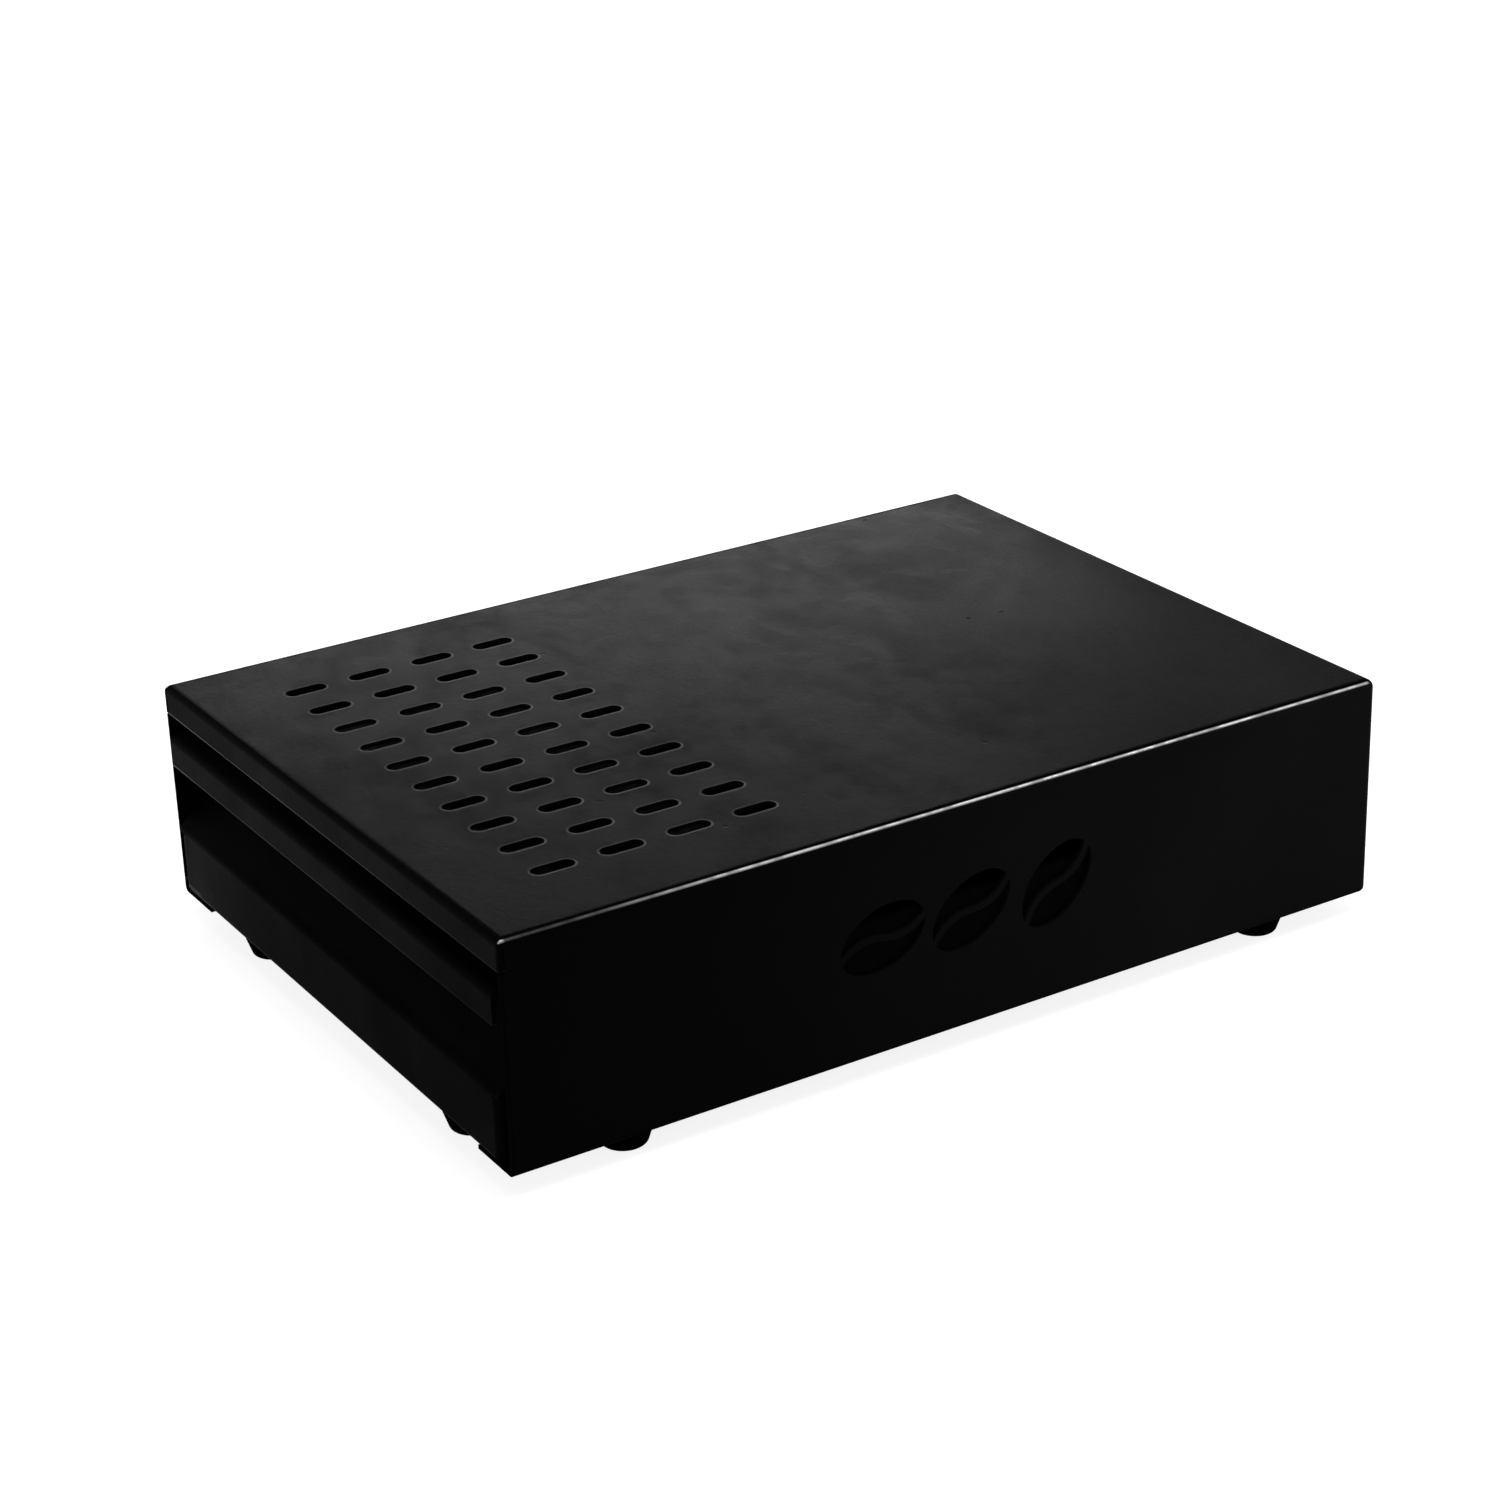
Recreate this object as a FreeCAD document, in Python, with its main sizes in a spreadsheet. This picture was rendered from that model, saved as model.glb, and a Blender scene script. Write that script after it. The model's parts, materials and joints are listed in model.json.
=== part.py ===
import FreeCAD, Part
import math
import os
import re

import Sketcher

# Knock box drawer: a folded steel case on rubber feet with drain slots in its top. A drawer with a
# finger recess runs in it on two ball-bearing slides, and carries a loose pan with a padded bar.
# X runs across the drawer, Y from the drawer's front to the back, Z up. The origin lies on the floor,
# under the middle of the whole object.

# Driving sizes in millimetres and degrees, each written once.
SIZES = {
    # case
    "case_width": 252,
    "case_length": 348,
    "case_height": 82,
    "case_sheet": 1.5,
    "case_bend": 3,
    "case_base_bend": 2,
    "flange_drop": 11,
    "flange_seam": 0.5,
    "bottom_return": 23,
    "rear_return": 15,
    # drain slots in the top
    "slot_length": 15.5,
    "slot_width": 6,
    "slots_across": 10,
    "slots_along": 4,
    "slot_pitch_across": 20,
    "slot_pitch_along": 25,
    "slot_setback": 39,
    # bean shapes cut through the right side
    "bean_length": 34,
    "bean_width": 22.5,
    "bean_pitch": 35,
    "bean_bridge": 2.6,
    "bean_sway": 2.8,
    "bean_tilt": 32,
    "bean_tilt_step": 14,
    "bean_drop": 39.5,
    # rear panel
    "panel_sheet": 1.5,
    "panel_flange": 23,
    "panel_gap": 0.3,
    "panel_notch_gap": 0.5,
    "panel_screw_inset": 9,
    "panel_screw_top_offset": 70,
    "panel_screw_low": 16,
    "panel_screw_high": 56,
    # front rail
    "rail_sheet": 1.5,
    "rail_setback": 3.5,
    "rail_depth": 23,
    "rail_end_gap": 2,
    "rail_joggle": 3,
    "rail_joggle_gap": 1,
    "rail_rivet_inset": 13,
    "rail_rivet_pitch": 12,
    # feet
    "foot_height": 7,
    "foot_top_radius": 10,
    "foot_bottom_radius": 7.7,
    "foot_edge": 1.9,
    "foot_recess_radius": 4.6,
    "foot_recess_depth": 5,
    "left_foot_inset": 52,
    "right_foot_inset": 48,
    "end_foot_setback": 11.2,
    "side_foot_front_setback": 46,
    "side_foot_rear_setback": 42.5,
    # ball-bearing slides
    "slide_thickness": 12.7,
    "slide_height": 36,
    "slide_sheet": 1.2,
    "slide_setback": 0.5,
    "slide_rear_gap": 20,
    "slide_centre": 32,
    "slide_bend": 1.8,
    "member_gap": 0.4,
    "cage_sheet": 0.6,
    "cage_bend": 0.9,
    "cage_start": 80,
    "cage_length": 140,
    "cage_lap": 0.3,
    "ball_radius": 1.75,
    "ball_clearance": 0.06,
    "ball_hole_clearance": 0.2,
    "balls_per_row": 6,
    "ball_margin": 10,
    "groove_radius": 2.4,
    "groove_depth": 0.4,
    "track_inset": 2.8,
    "tip_margin": 3.2,
    "cage_tip_margin": 2.1,
    "buffer_length": 6,
    "buffer_gap": 0.3,
    # drawer front
    "front_proud": 1.5,
    "front_sheet": 1.5,
    "front_bend": 3,
    "front_side_gap": 2.7,
    "front_bottom_gap": 2.2,
    "lower_face_height": 25.1,
    "lip_top_drop": 18.2,
    "lip_height": 11.7,
    "face_end_step": 0.8,
    "recess_depth": 20,
    "front_side_return": 12,
    "front_return_gap": 1,
    "front_bend_margin": 0.5,
    "front_relief": 0.5,
    "front_under_return": 4.5,
    "front_screw_drop": 9,
    "front_screw_inner_offset": 35,
    "front_screw_outer_inset": 32,
    # drawer tray
    "tray_sheet": 1.2,
    "tray_bend": 2.4,
    "tray_gap": 6,
    "tray_height": 54,
    "tray_slit": 0.5,
    "slide_screw_margin": 30,
    # grounds bin
    "bin_sheet": 0.8,
    "bin_gap": 6,
    "bin_floor_gap": 1.5,
    "bin_corner": 14,
    "bin_floor_bend": 9,
    "bin_rim_gap": 0.3,
    "bin_rim_corner": 5,
    "bin_rim_bend": 1.6,
    # knock bar
    "bar_radius": 6,
    "bar_drop": 7,
    "bar_setback": 95,
    "bar_chamfer": 0.6,
    "sleeve_radius": 13,
    "sleeve_end_gap": 7,
    "sleeve_round": 2.5,
    "sleeve_clearance": 0.05,
    "bar_thread_depth": 16,
    # small fasteners
    "small_screw_radius": 2,
    "small_head_radius": 3.8,
    "small_head_height": 2,
    "small_socket": 2.5,
    "small_socket_depth": 1.3,
    "small_hole_clearance": 0.2,
    "thread_clearance": 0.03,
    "hex_nut_flats": 7,
    "hex_nut_height": 3.2,
    "clinch_nut_radius": 4,
    "clinch_nut_height": 2.2,
    "clinch_shank_radius": 2.7,
    "clinch_shank_short": 0.1,
    "clinch_hole_clearance": 0.05,
    "panel_screw_length": 8,
    "foot_screw_length": 6,
    "front_screw_length": 7,
    "slide_screw_length": 7,
    "head_round": 0.8,
    "washer_radius": 4.4,
    "washer_thickness": 1,
    "rivet_radius": 1.6,
    "rivet_head_radius": 3,
    "rivet_head_height": 0.9,
    "rivet_head_round": 0.6,
    "rivet_tail_radius": 2.5,
    "rivet_tail_height": 0.8,
    "rivet_hole_clearance": 0.05,
    # bar screws and their washers
    "bar_screw_radius": 2.5,
    "bar_head_radius": 4.7,
    "bar_head_height": 2.7,
    "bar_socket": 3,
    "bar_socket_depth": 1.6,
    "bar_screw_length": 14,
    "bar_washer_radius": 5.5,
    "bar_washer_thickness": 1,
}

doc = FreeCAD.newDocument("KnockBoxDrawer")
sheet = doc.addObject("Spreadsheet::Sheet", "Sizes")
for row, (name, number) in enumerate(SIZES.items(), start=1):
    sheet.set(f"A{row}", name)
    sheet.set(f"B{row}", str(number))
    sheet.setAlias(f"B{row}", name)
doc.recompute()

# Heights, lengths and widths that several pieces share, as formulas of the sizes above.
HALF_WIDTH = "(case_width / 2)"
WALL_INNER = f"({HALF_WIDTH} - case_sheet)"
CASE_SHIFT = "((front_proud - small_head_height) / 2)"
CASE_FRONT = f"({CASE_SHIFT} - case_length / 2)"
CASE_REAR = f"({CASE_SHIFT} + case_length / 2)"
CASE_BASE = "(foot_height)"
CASE_TOP = f"({CASE_BASE} + case_height)"
RETURN_TOP = f"({CASE_BASE} + case_sheet)"
RETURN_EDGE = f"({HALF_WIDTH} - bottom_return)"
FLANGE_BOTTOM = f"({CASE_TOP} - flange_drop)"

PANEL_REAR = f"({CASE_REAR} - case_sheet)"
PANEL_FACE = f"({PANEL_REAR} - panel_sheet)"
PANEL_HALF = f"({HALF_WIDTH} - case_bend - panel_gap)"

FRONT_FACE = f"({CASE_FRONT} - front_proud)"
LIP_HALF = f"({WALL_INNER} - front_side_gap)"
FRONT_HALF = f"({LIP_HALF} - face_end_step)"
FRONT_BOTTOM = f"({CASE_BASE} + front_bottom_gap)"
SLOPE_FOOT = f"({FRONT_BOTTOM} + lower_face_height)"
LIP_TOP = f"({CASE_TOP} - lip_top_drop)"
LIP_BOTTOM = f"({LIP_TOP} - lip_height)"
RECESS_BACK = f"({FRONT_FACE} + recess_depth)"

SLIDE_FRONT = f"({RECESS_BACK} + slide_setback)"
SLIDE_REAR = f"({PANEL_FACE} - slide_rear_gap - buffer_length)"
SLIDE_LENGTH = f"({SLIDE_REAR} - {SLIDE_FRONT})"
SLIDE_CENTRE = f"({CASE_BASE} + slide_centre)"

TRAY_HALF = f"({WALL_INNER} - slide_thickness)"
TRAY_INNER = f"({TRAY_HALF} - tray_sheet)"
TRAY_FRONT = RECESS_BACK
TRAY_REAR = SLIDE_REAR
TRAY_BOTTOM = f"({CASE_BASE} + tray_gap)"
TRAY_FLOOR = f"({TRAY_BOTTOM} + tray_sheet)"
TRAY_TOP = f"({TRAY_BOTTOM} + tray_height)"

BIN_HALF = f"({TRAY_INNER} - bin_gap)"
BIN_FRONT = f"({TRAY_FRONT} + tray_sheet + bin_gap)"
BIN_REAR = f"({TRAY_REAR} - tray_sheet - bin_gap)"
BIN_BOTTOM = f"({TRAY_FLOOR} + bin_floor_gap)"
BIN_TOP = f"({TRAY_TOP} + bin_sheet)"
BAR_HALF = f"({BIN_HALF} - bin_sheet)"
BAR_PLACE = f"({TRAY_FRONT} + bar_setback)"
BAR_HEIGHT = f"({TRAY_TOP} - bar_drop)"

SMALL_HOLE = "(small_screw_radius + small_hole_clearance)"
SMALL_BORE = "(small_screw_radius + thread_clearance)"
CLINCH_HOLE = "(clinch_shank_radius + clinch_hole_clearance)"
RIVET_HOLE = "(rivet_radius + rivet_hole_clearance)"

SIDES = {"left": -1, "right": 1}
PLANES = {"XY": "XY_Plane", "XZ": "XZ_Plane", "YZ": "YZ_Plane"}
UPWARD = FreeCAD.Vector(0, 0, 1)
DOWNWARD = FreeCAD.Vector(0, 0, -1)
FRONTWARD = FreeCAD.Vector(0, -1, 0)
REARWARD = FreeCAD.Vector(0, 1, 0)
RIGHTWARD = FreeCAD.Vector(1, 0, 0)
NEARLY_ZERO = 1e-4

nodes = []


# Working with formulas.

def sized(formula):
    """Point every size name in a formula at its cell."""
    return re.sub(r"[a-z_]+", lambda word: f"Sizes.{word[0]}" if word[0] in SIZES else word[0], formula)


def value(formula):
    """Work a formula out as a number."""
    return float(sheet.evalExpression(sized(formula)))


def bind(thing, target, formula):
    thing.setExpression(target, sized(formula))


def both(formula):
    """The same distance to the left and to the right of the middle."""
    return f"(-{formula})", formula


def keep(thing, label):
    """Make an object one of the pieces that are written out."""
    thing.Label = label
    nodes.append(thing)
    return thing


def place(thing, direction, x, y, z):
    """Turn an object's own +Z to a direction and bind its place."""
    thing.Placement = FreeCAD.Placement(FreeCAD.Vector(), FreeCAD.Rotation(UPWARD, direction))
    for axis, formula in zip("xyz", (x, y, z)):
        bind(thing, f".Placement.Base.{axis}", formula)
    return thing


# Sketches and features.

def new_body(name):
    body = doc.addObject("PartDesign::Body", name)
    body.AllowCompound = True
    return body


def new_sketch(body, plane, height="0"):
    """An empty sketch on one of the body's own planes, moved along its normal by a formula."""
    sketch = body.newObject("Sketcher::SketchObject", f"{body.Name}_sketch")
    origin_plane = [item for item in body.Origin.OriginFeatures if item.Role == PLANES[plane]][0]
    sketch.AttachmentSupport = [(origin_plane, "")]
    sketch.MapMode = "FlatFace"
    bind(sketch, ".AttachmentOffset.Base.z", height)
    return sketch


def fix_point(sketch, item, end, across, up):
    """Bind one point of a sketch's line, arc or circle to two formulas."""
    for kind, formula in (("DistanceX", across), ("DistanceY", up)):
        number = sketch.addConstraint(Sketcher.Constraint(kind, -1, 1, item, end, value(formula)))
        bind(sketch, f"Constraints[{number}]", formula)


def fix_radius(sketch, item, radius):
    number = sketch.addConstraint(Sketcher.Constraint("Radius", item, value(radius)))
    bind(sketch, f"Constraints[{number}]", radius)


def draw_outline(sketch, points):
    """Draw one closed outline of straight lines whose corners are bound to formulas."""
    first = sketch.GeometryCount
    corners = [FreeCAD.Vector(value(across), value(up), 0) for across, up in points]
    for start, end in zip(corners, corners[1:] + corners[:1]):
        sketch.addGeometry(Part.LineSegment(start, end), False)
    count = len(points)
    for number in range(count):
        following = first + (number + 1) % count
        sketch.addConstraint(Sketcher.Constraint("Coincident", first + number, 2, following, 1))
    for number, (across, up) in enumerate(points):
        fix_point(sketch, first + number, 1, across, up)


def draw_circle(sketch, radius, across, up):
    centre = FreeCAD.Vector(value(across), value(up), 0)
    item = sketch.addGeometry(Part.Circle(centre, UPWARD, value(radius)), False)
    fix_point(sketch, item, 3, across, up)
    fix_radius(sketch, item, radius)


def draw_slot(sketch, across, low, high, radius):
    """Draw an upright slot with round ends, from the centre of one end to the other."""
    x, y_low, y_high, r = value(across), value(low), value(high), value(radius)
    left_low = FreeCAD.Vector(x - r, y_low, 0)
    left_high = FreeCAD.Vector(x - r, y_high, 0)
    right_low = FreeCAD.Vector(x + r, y_low, 0)
    right_high = FreeCAD.Vector(x + r, y_high, 0)
    upper = Part.Circle(FreeCAD.Vector(x, y_high, 0), UPWARD, r)
    lower = Part.Circle(FreeCAD.Vector(x, y_low, 0), UPWARD, r)
    sketch.addGeometry(Part.LineSegment(right_low, right_high), False)
    sketch.addGeometry(Part.ArcOfCircle(upper, 0, math.pi), False)
    sketch.addGeometry(Part.LineSegment(left_high, left_low), False)
    sketch.addGeometry(Part.ArcOfCircle(lower, math.pi, 2 * math.pi), False)
    for item, following in ((0, 1), (1, 2), (2, 3), (3, 0)):
        sketch.addConstraint(Sketcher.Constraint("Tangent", item, 2, following, 1))
    fix_point(sketch, 1, 3, across, high)
    fix_point(sketch, 3, 3, across, low)
    fix_radius(sketch, 1, radius)
    sketch.addConstraint(Sketcher.Constraint("Vertical", 0))


def rectangle(across, up):
    """The corners of a rectangle between two limits each way."""
    (left, right), (low, high) = across, up
    return [(left, low), (right, low), (right, high), (left, high)]


def pad(body, plane, outlines, low, high):
    """Push outlines from one place to another across their plane, as material of a body."""
    sketch = new_sketch(body, plane, f"-({high})" if plane == "XZ" else low)
    for outline in outlines:
        draw_outline(sketch, outline)
    feature = body.newObject("PartDesign::Pad", f"{body.Name}_pad")
    feature.Profile = sketch
    bind(feature, "Length", f"({high}) - ({low})")
    doc.recompute()
    return feature


def pocket(body, plane, outlines, low, high):
    """Cut outlines away from one place to another across their plane."""
    sketch = new_sketch(body, plane, f"-({low})" if plane == "XZ" else high)
    for outline in outlines:
        draw_outline(sketch, outline)
    feature = body.newObject("PartDesign::Pocket", f"{body.Name}_pocket")
    feature.Profile = sketch
    bind(feature, "Length", f"({high}) - ({low})")
    doc.recompute()
    return feature


def holes(body, plane, radius, spots, low, high):
    """Cut round holes square to a plane, between two places along its normal."""
    sketch = new_sketch(body, plane, f"-({low})" if plane == "XZ" else high)
    for across, up in spots:
        draw_circle(sketch, radius, across, up)
    feature = body.newObject("PartDesign::Pocket", f"{body.Name}_holes")
    feature.Profile = sketch
    bind(feature, "Length", f"({high}) - ({low})")
    doc.recompute()
    return feature


def edges_at(shape, spots):
    """Names of the edges on the given spots, where None stands for the way that the edge runs."""
    names = []
    numbers = [[None if item is None else value(item) for item in spot] for spot in spots]
    for index, edge in enumerate(shape.Edges, start=1):
        ends = [vertex.Point for vertex in edge.Vertexes]
        for spot in numbers:
            fixed = [axis for axis in range(3) if spot[axis] is not None]
            if all(abs(end[axis] - spot[axis]) < NEARLY_ZERO for axis in fixed for end in ends):
                names.append(f"Edge{index}")
                break
    return names


def round_edges(body, radius, spots):
    """Round a body's edges on the given spots."""
    tip = body.Tip
    feature = body.newObject("PartDesign::Fillet", f"{body.Name}_bend")
    feature.Base = (tip, edges_at(tip.Shape, spots))
    bind(feature, "Radius", radius)
    doc.recompute()
    return feature


def hollow(body, wall, top):
    """Hollow a body out through its face at a height, and leave a wall."""
    tip = body.Tip
    level = value(top)
    opened = [f"Face{number}" for number, face in enumerate(tip.Shape.Faces, start=1)
              if abs(face.BoundBox.ZMin - level) < NEARLY_ZERO]
    feature = body.newObject("PartDesign::Thickness", f"{body.Name}_hollow")
    feature.Base = (tip, opened)
    feature.Reversed = True
    bind(feature, "Value", wall)
    doc.recompute()
    return feature


def block(name, x, y, z):
    """A plain block between two limits each way."""
    shape = doc.addObject("Part::Box", name)
    for length, axis, (low, high) in zip(("Length", "Width", "Height"), "xyz", (x, y, z)):
        bind(shape, length, f"({high}) - ({low})")
        bind(shape, f".Placement.Base.{axis}", low)
    return shape


def cut(name, base, tools):
    tool = tools[0]
    if len(tools) > 1:
        tool = doc.addObject("Part::MultiFuse", f"{name}_tools")
        tool.Shapes = tools
    result = doc.addObject("Part::Cut", name)
    result.Base = base
    result.Tool = tool
    result.Refine = True
    doc.recompute()
    return result


def turned(name, points):
    """A body turned about its own Z from an outline of radii and heights."""
    body = new_body(name)
    sketch = new_sketch(body, "XZ")
    draw_outline(sketch, points)
    feature = body.newObject("PartDesign::Revolution", f"{name}_turning")
    feature.Profile = sketch
    feature.ReferenceAxis = (sketch, ["V_Axis"])
    feature.Angle = 360
    doc.recompute()
    return body


def round_ring(body, size, spots):
    """Round a turned body's circular edges, each given by its radius and height."""
    tip = body.Tip
    wanted = [(value(radius), value(height)) for radius, height in spots]
    names = []
    for index, edge in enumerate(tip.Shape.Edges, start=1):
        if not isinstance(edge.Curve, Part.Circle):
            continue
        found = (edge.Curve.Radius, edge.Curve.Center.z)
        if any(math.dist(found, spot) < NEARLY_ZERO for spot in wanted):
            names.append(f"Edge{index}")
    feature = body.newObject("PartDesign::Fillet", f"{body.Name}_round")
    feature.Base = (tip, names)
    bind(feature, "Radius", size)
    doc.recompute()
    return feature


def copies(label, master, spots):
    """One node of separate solids: the same piece at several places, each turned its own way."""
    links = []
    for number, (direction, x, y, z) in enumerate(spots):
        link = doc.addObject("App::Link", f"{label}_{number}")
        link.LinkedObject = master
        links.append(place(link, direction, x, y, z))
    group = doc.addObject("Part::Compound", label)
    group.Links = links
    return keep(group, label)


# Fasteners. Each stands with its head up, and the underside of the head is at its own zero.

def hexagon(flats):
    """The corners of a hexagon of a width across flats, in a sketch's middle."""
    corners = []
    for number in range(6):
        turn = 30 + 60 * number
        corners.append((f"{flats} / 2 / cos(30) * cos({turn})", f"{flats} / 2 / cos(30) * sin({turn})"))
    return corners


def socket_screw(name, radius, length, head_radius, head_height, socket, socket_depth):
    points = [("0", f"-{length}"), (radius, f"-{length}"), (radius, "0"), (head_radius, "0")]
    points += [(head_radius, head_height), ("0", head_height)]
    body = turned(name, points)
    round_ring(body, "head_round", [(head_radius, head_height)])
    pocket(body, "XY", [hexagon(socket)], f"{head_height} - {socket_depth}", head_height)
    return body


def small_screw(name, length):
    return socket_screw(name, "small_screw_radius", length, "small_head_radius", "small_head_height",
                        "small_socket", "small_socket_depth")


def clinch_nut(name, wall):
    """A round nut that stands on a sheet, with its shank in the sheet's hole."""
    foot = f"clinch_shank_short - {wall}"
    points = [(SMALL_BORE, foot), ("clinch_shank_radius", foot), ("clinch_shank_radius", "0")]
    points += [("clinch_nut_radius", "0"), ("clinch_nut_radius", "clinch_nut_height")]
    points += [(SMALL_BORE, "clinch_nut_height")]
    return turned(name, points)


def hex_nut(name):
    """A hexagon nut that stands on its own zero."""
    body = new_body(name)
    pad(body, "XY", [hexagon("hex_nut_flats")], "0", "hex_nut_height")
    holes(body, "XY", SMALL_BORE, [("0", "0")], "0", "hex_nut_height")
    return body


def washer(name, bore, radius, thickness):
    return turned(name, [(bore, "0"), (radius, "0"), (radius, thickness), (bore, thickness)])


def rivet(name, grip):
    """A set rivet: its head above zero, and its spread tail beyond the sheets that it grips."""
    end = f"-({grip} + rivet_tail_height)"
    points = [("0", end), ("rivet_tail_radius", end), ("rivet_tail_radius", f"-({grip})")]
    points += [("rivet_radius", f"-({grip})"), ("rivet_radius", "0"), ("rivet_head_radius", "0")]
    points += [("rivet_head_radius", "rivet_head_height"), ("0", "rivet_head_height")]
    body = turned(name, points)
    round_ring(body, "rivet_head_round", [("rivet_head_radius", "rivet_head_height")])
    return body


# Places of the fasteners and feet.

FOOT_FRONT = f"({CASE_FRONT} + end_foot_setback)"
FOOT_REAR = f"({CASE_REAR} - end_foot_setback)"
FOOT_SIDE = f"({HALF_WIDTH} - bottom_return / 2)"
FEET = {}
for side, sign in SIDES.items():
    across = f"({sign} * ({HALF_WIDTH} - {side}_foot_inset))"
    FEET[f"foot_front_{side}"] = (across, FOOT_FRONT)
    FEET[f"foot_rear_{side}"] = (across, FOOT_REAR)
    FEET[f"foot_{side}_front"] = (f"({sign} * {FOOT_SIDE})", f"({CASE_FRONT} + side_foot_front_setback)")
    FEET[f"foot_{side}_rear"] = (f"({sign} * {FOOT_SIDE})", f"({CASE_REAR} - side_foot_rear_setback)")
RAIL_FEET = [FEET["foot_front_left"], FEET["foot_front_right"]]
PANEL_FEET = [FEET["foot_rear_left"], FEET["foot_rear_right"]]
SIDE_FEET = [spot for spot in FEET.values() if spot not in RAIL_FEET + PANEL_FEET]

RAIL_FRONT = f"({CASE_FRONT} + rail_setback)"
RAIL_REAR = f"({RAIL_FRONT} + rail_depth)"
RAIL_MIDDLE = f"({RAIL_FRONT} + rail_depth / 2)"
RAIL_RIVETS = []
PANEL_SCREWS = []
FRONT_SCREWS = []
SLIDE_SCREWS = [f"({SLIDE_FRONT} + slide_screw_margin)", f"({SLIDE_FRONT} + {SLIDE_LENGTH} / 2)",
                f"({SLIDE_REAR} - slide_screw_margin)"]
for sign in SIDES.values():
    for step in (-1, 1):
        RAIL_RIVETS.append((f"({sign} * ({HALF_WIDTH} - rail_rivet_inset))",
                            f"({RAIL_MIDDLE} + {step} * rail_rivet_pitch / 2)"))
    edge = f"({sign} * ({HALF_WIDTH} - panel_screw_inset))"
    PANEL_SCREWS.append((edge, f"({CASE_BASE} + panel_screw_low)"))
    PANEL_SCREWS.append((edge, f"({CASE_BASE} + panel_screw_high)"))
    PANEL_SCREWS.append((f"({sign} * panel_screw_top_offset)", f"({CASE_TOP} - panel_screw_inset)"))
    for offset in ("front_screw_inner_offset", f"({LIP_HALF} - front_screw_outer_inset)"):
        FRONT_SCREWS.append((f"({sign} * {offset})", f"({LIP_TOP} - front_screw_drop)"))


# Case.

def case_block(name, inset):
    """The case's outer form, or its hollow when it is set in by the sheet."""
    side = f"({HALF_WIDTH} - {inset})"
    front = f"({CASE_FRONT} + {inset})"
    rear = f"({CASE_REAR} - {inset})"
    base = f"({CASE_BASE} + {inset})"
    top = f"({CASE_TOP} - {inset})"
    body = new_body(name)
    pad(body, "XY", [rectangle(both(side), (front, rear))], base, top)
    bends = [(None, front, top), (None, rear, top)]
    base_bends = [(None, rear, base)]
    for edge in both(side):
        bends += [(edge, None, top), (edge, rear, None)]
        base_bends.append((edge, None, base))
    round_edges(body, f"case_bend - {inset}", bends)
    round_edges(body, f"case_base_bend - {inset}", base_bends)
    return body


def front_window():
    """The opening that the drawer runs through, with the returns' bends left standing."""
    body = new_body("front_window")
    ends = (f"({CASE_FRONT} - case_sheet)", f"({CASE_FRONT} + 2 * case_sheet)")
    pad(body, "XY", [rectangle(both(WALL_INNER), ends)], RETURN_TOP, FLANGE_BOTTOM)
    round_edges(body, "case_base_bend - case_sheet", [(edge, None, RETURN_TOP) for edge in both(WALL_INNER)])
    return body


def bean_halves():
    """Bean shapes, each in two halves with a bridge between them, as blades to cut the side with."""
    half_long = value("bean_length / 2")
    half_short = value("bean_width / 2")
    sway = value("bean_sway")
    bridge = value("bean_bridge / 2")
    reach = half_long + bridge

    def crease(shift, backward):
        points = [(-reach, 0), (-reach / 2, sway), (0, 0), (reach / 2, -sway), (reach, 0)]
        spots = [FreeCAD.Vector(along, across + shift, 0) for along, across in points]
        if backward:
            spots.reverse()
        return [Part.Arc(*spots[:3]).toShape(), Part.Arc(*spots[2:]).toShape()]

    lower = crease(-bridge, False)
    upper = crease(bridge, True)
    right_end = Part.makeLine(lower[-1].Vertexes[-1].Point, upper[0].Vertexes[0].Point)
    left_end = Part.makeLine(upper[-1].Vertexes[-1].Point, lower[0].Vertexes[0].Point)
    band = Part.Face(Part.Wire(lower + [right_end] + upper + [left_end]))
    bean = Part.Face(Part.Wire(Part.Ellipse(FreeCAD.Vector(), half_long, half_short).toShape()))
    halves = bean.cut(band)
    # The outlines are drawn flat, and then stood up to face the right side.
    upright = FreeCAD.Rotation(FreeCAD.Vector(0, 1, 0), UPWARD, RIGHTWARD, "ZXY")
    depth = FreeCAD.Vector(value("3 * case_sheet"), 0, 0)
    blades = []
    for step in (-1, 0, 1):
        tilt = FreeCAD.Rotation(RIGHTWARD, value(f"bean_tilt + {step} * bean_tilt_step"))
        spot = FreeCAD.Vector(value(f"{HALF_WIDTH} - 2 * case_sheet"),
                              value(f"{CASE_SHIFT} + {step} * bean_pitch"), value(f"{CASE_TOP} - bean_drop"))
        blade = halves.copy()
        blade.Placement = FreeCAD.Placement(spot, tilt * upright)
        blades.append(blade.extrude(depth))
    tool = doc.addObject("Part::Feature", "bean_blades")
    tool.Shape = Part.makeCompound(blades)
    return tool


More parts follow.
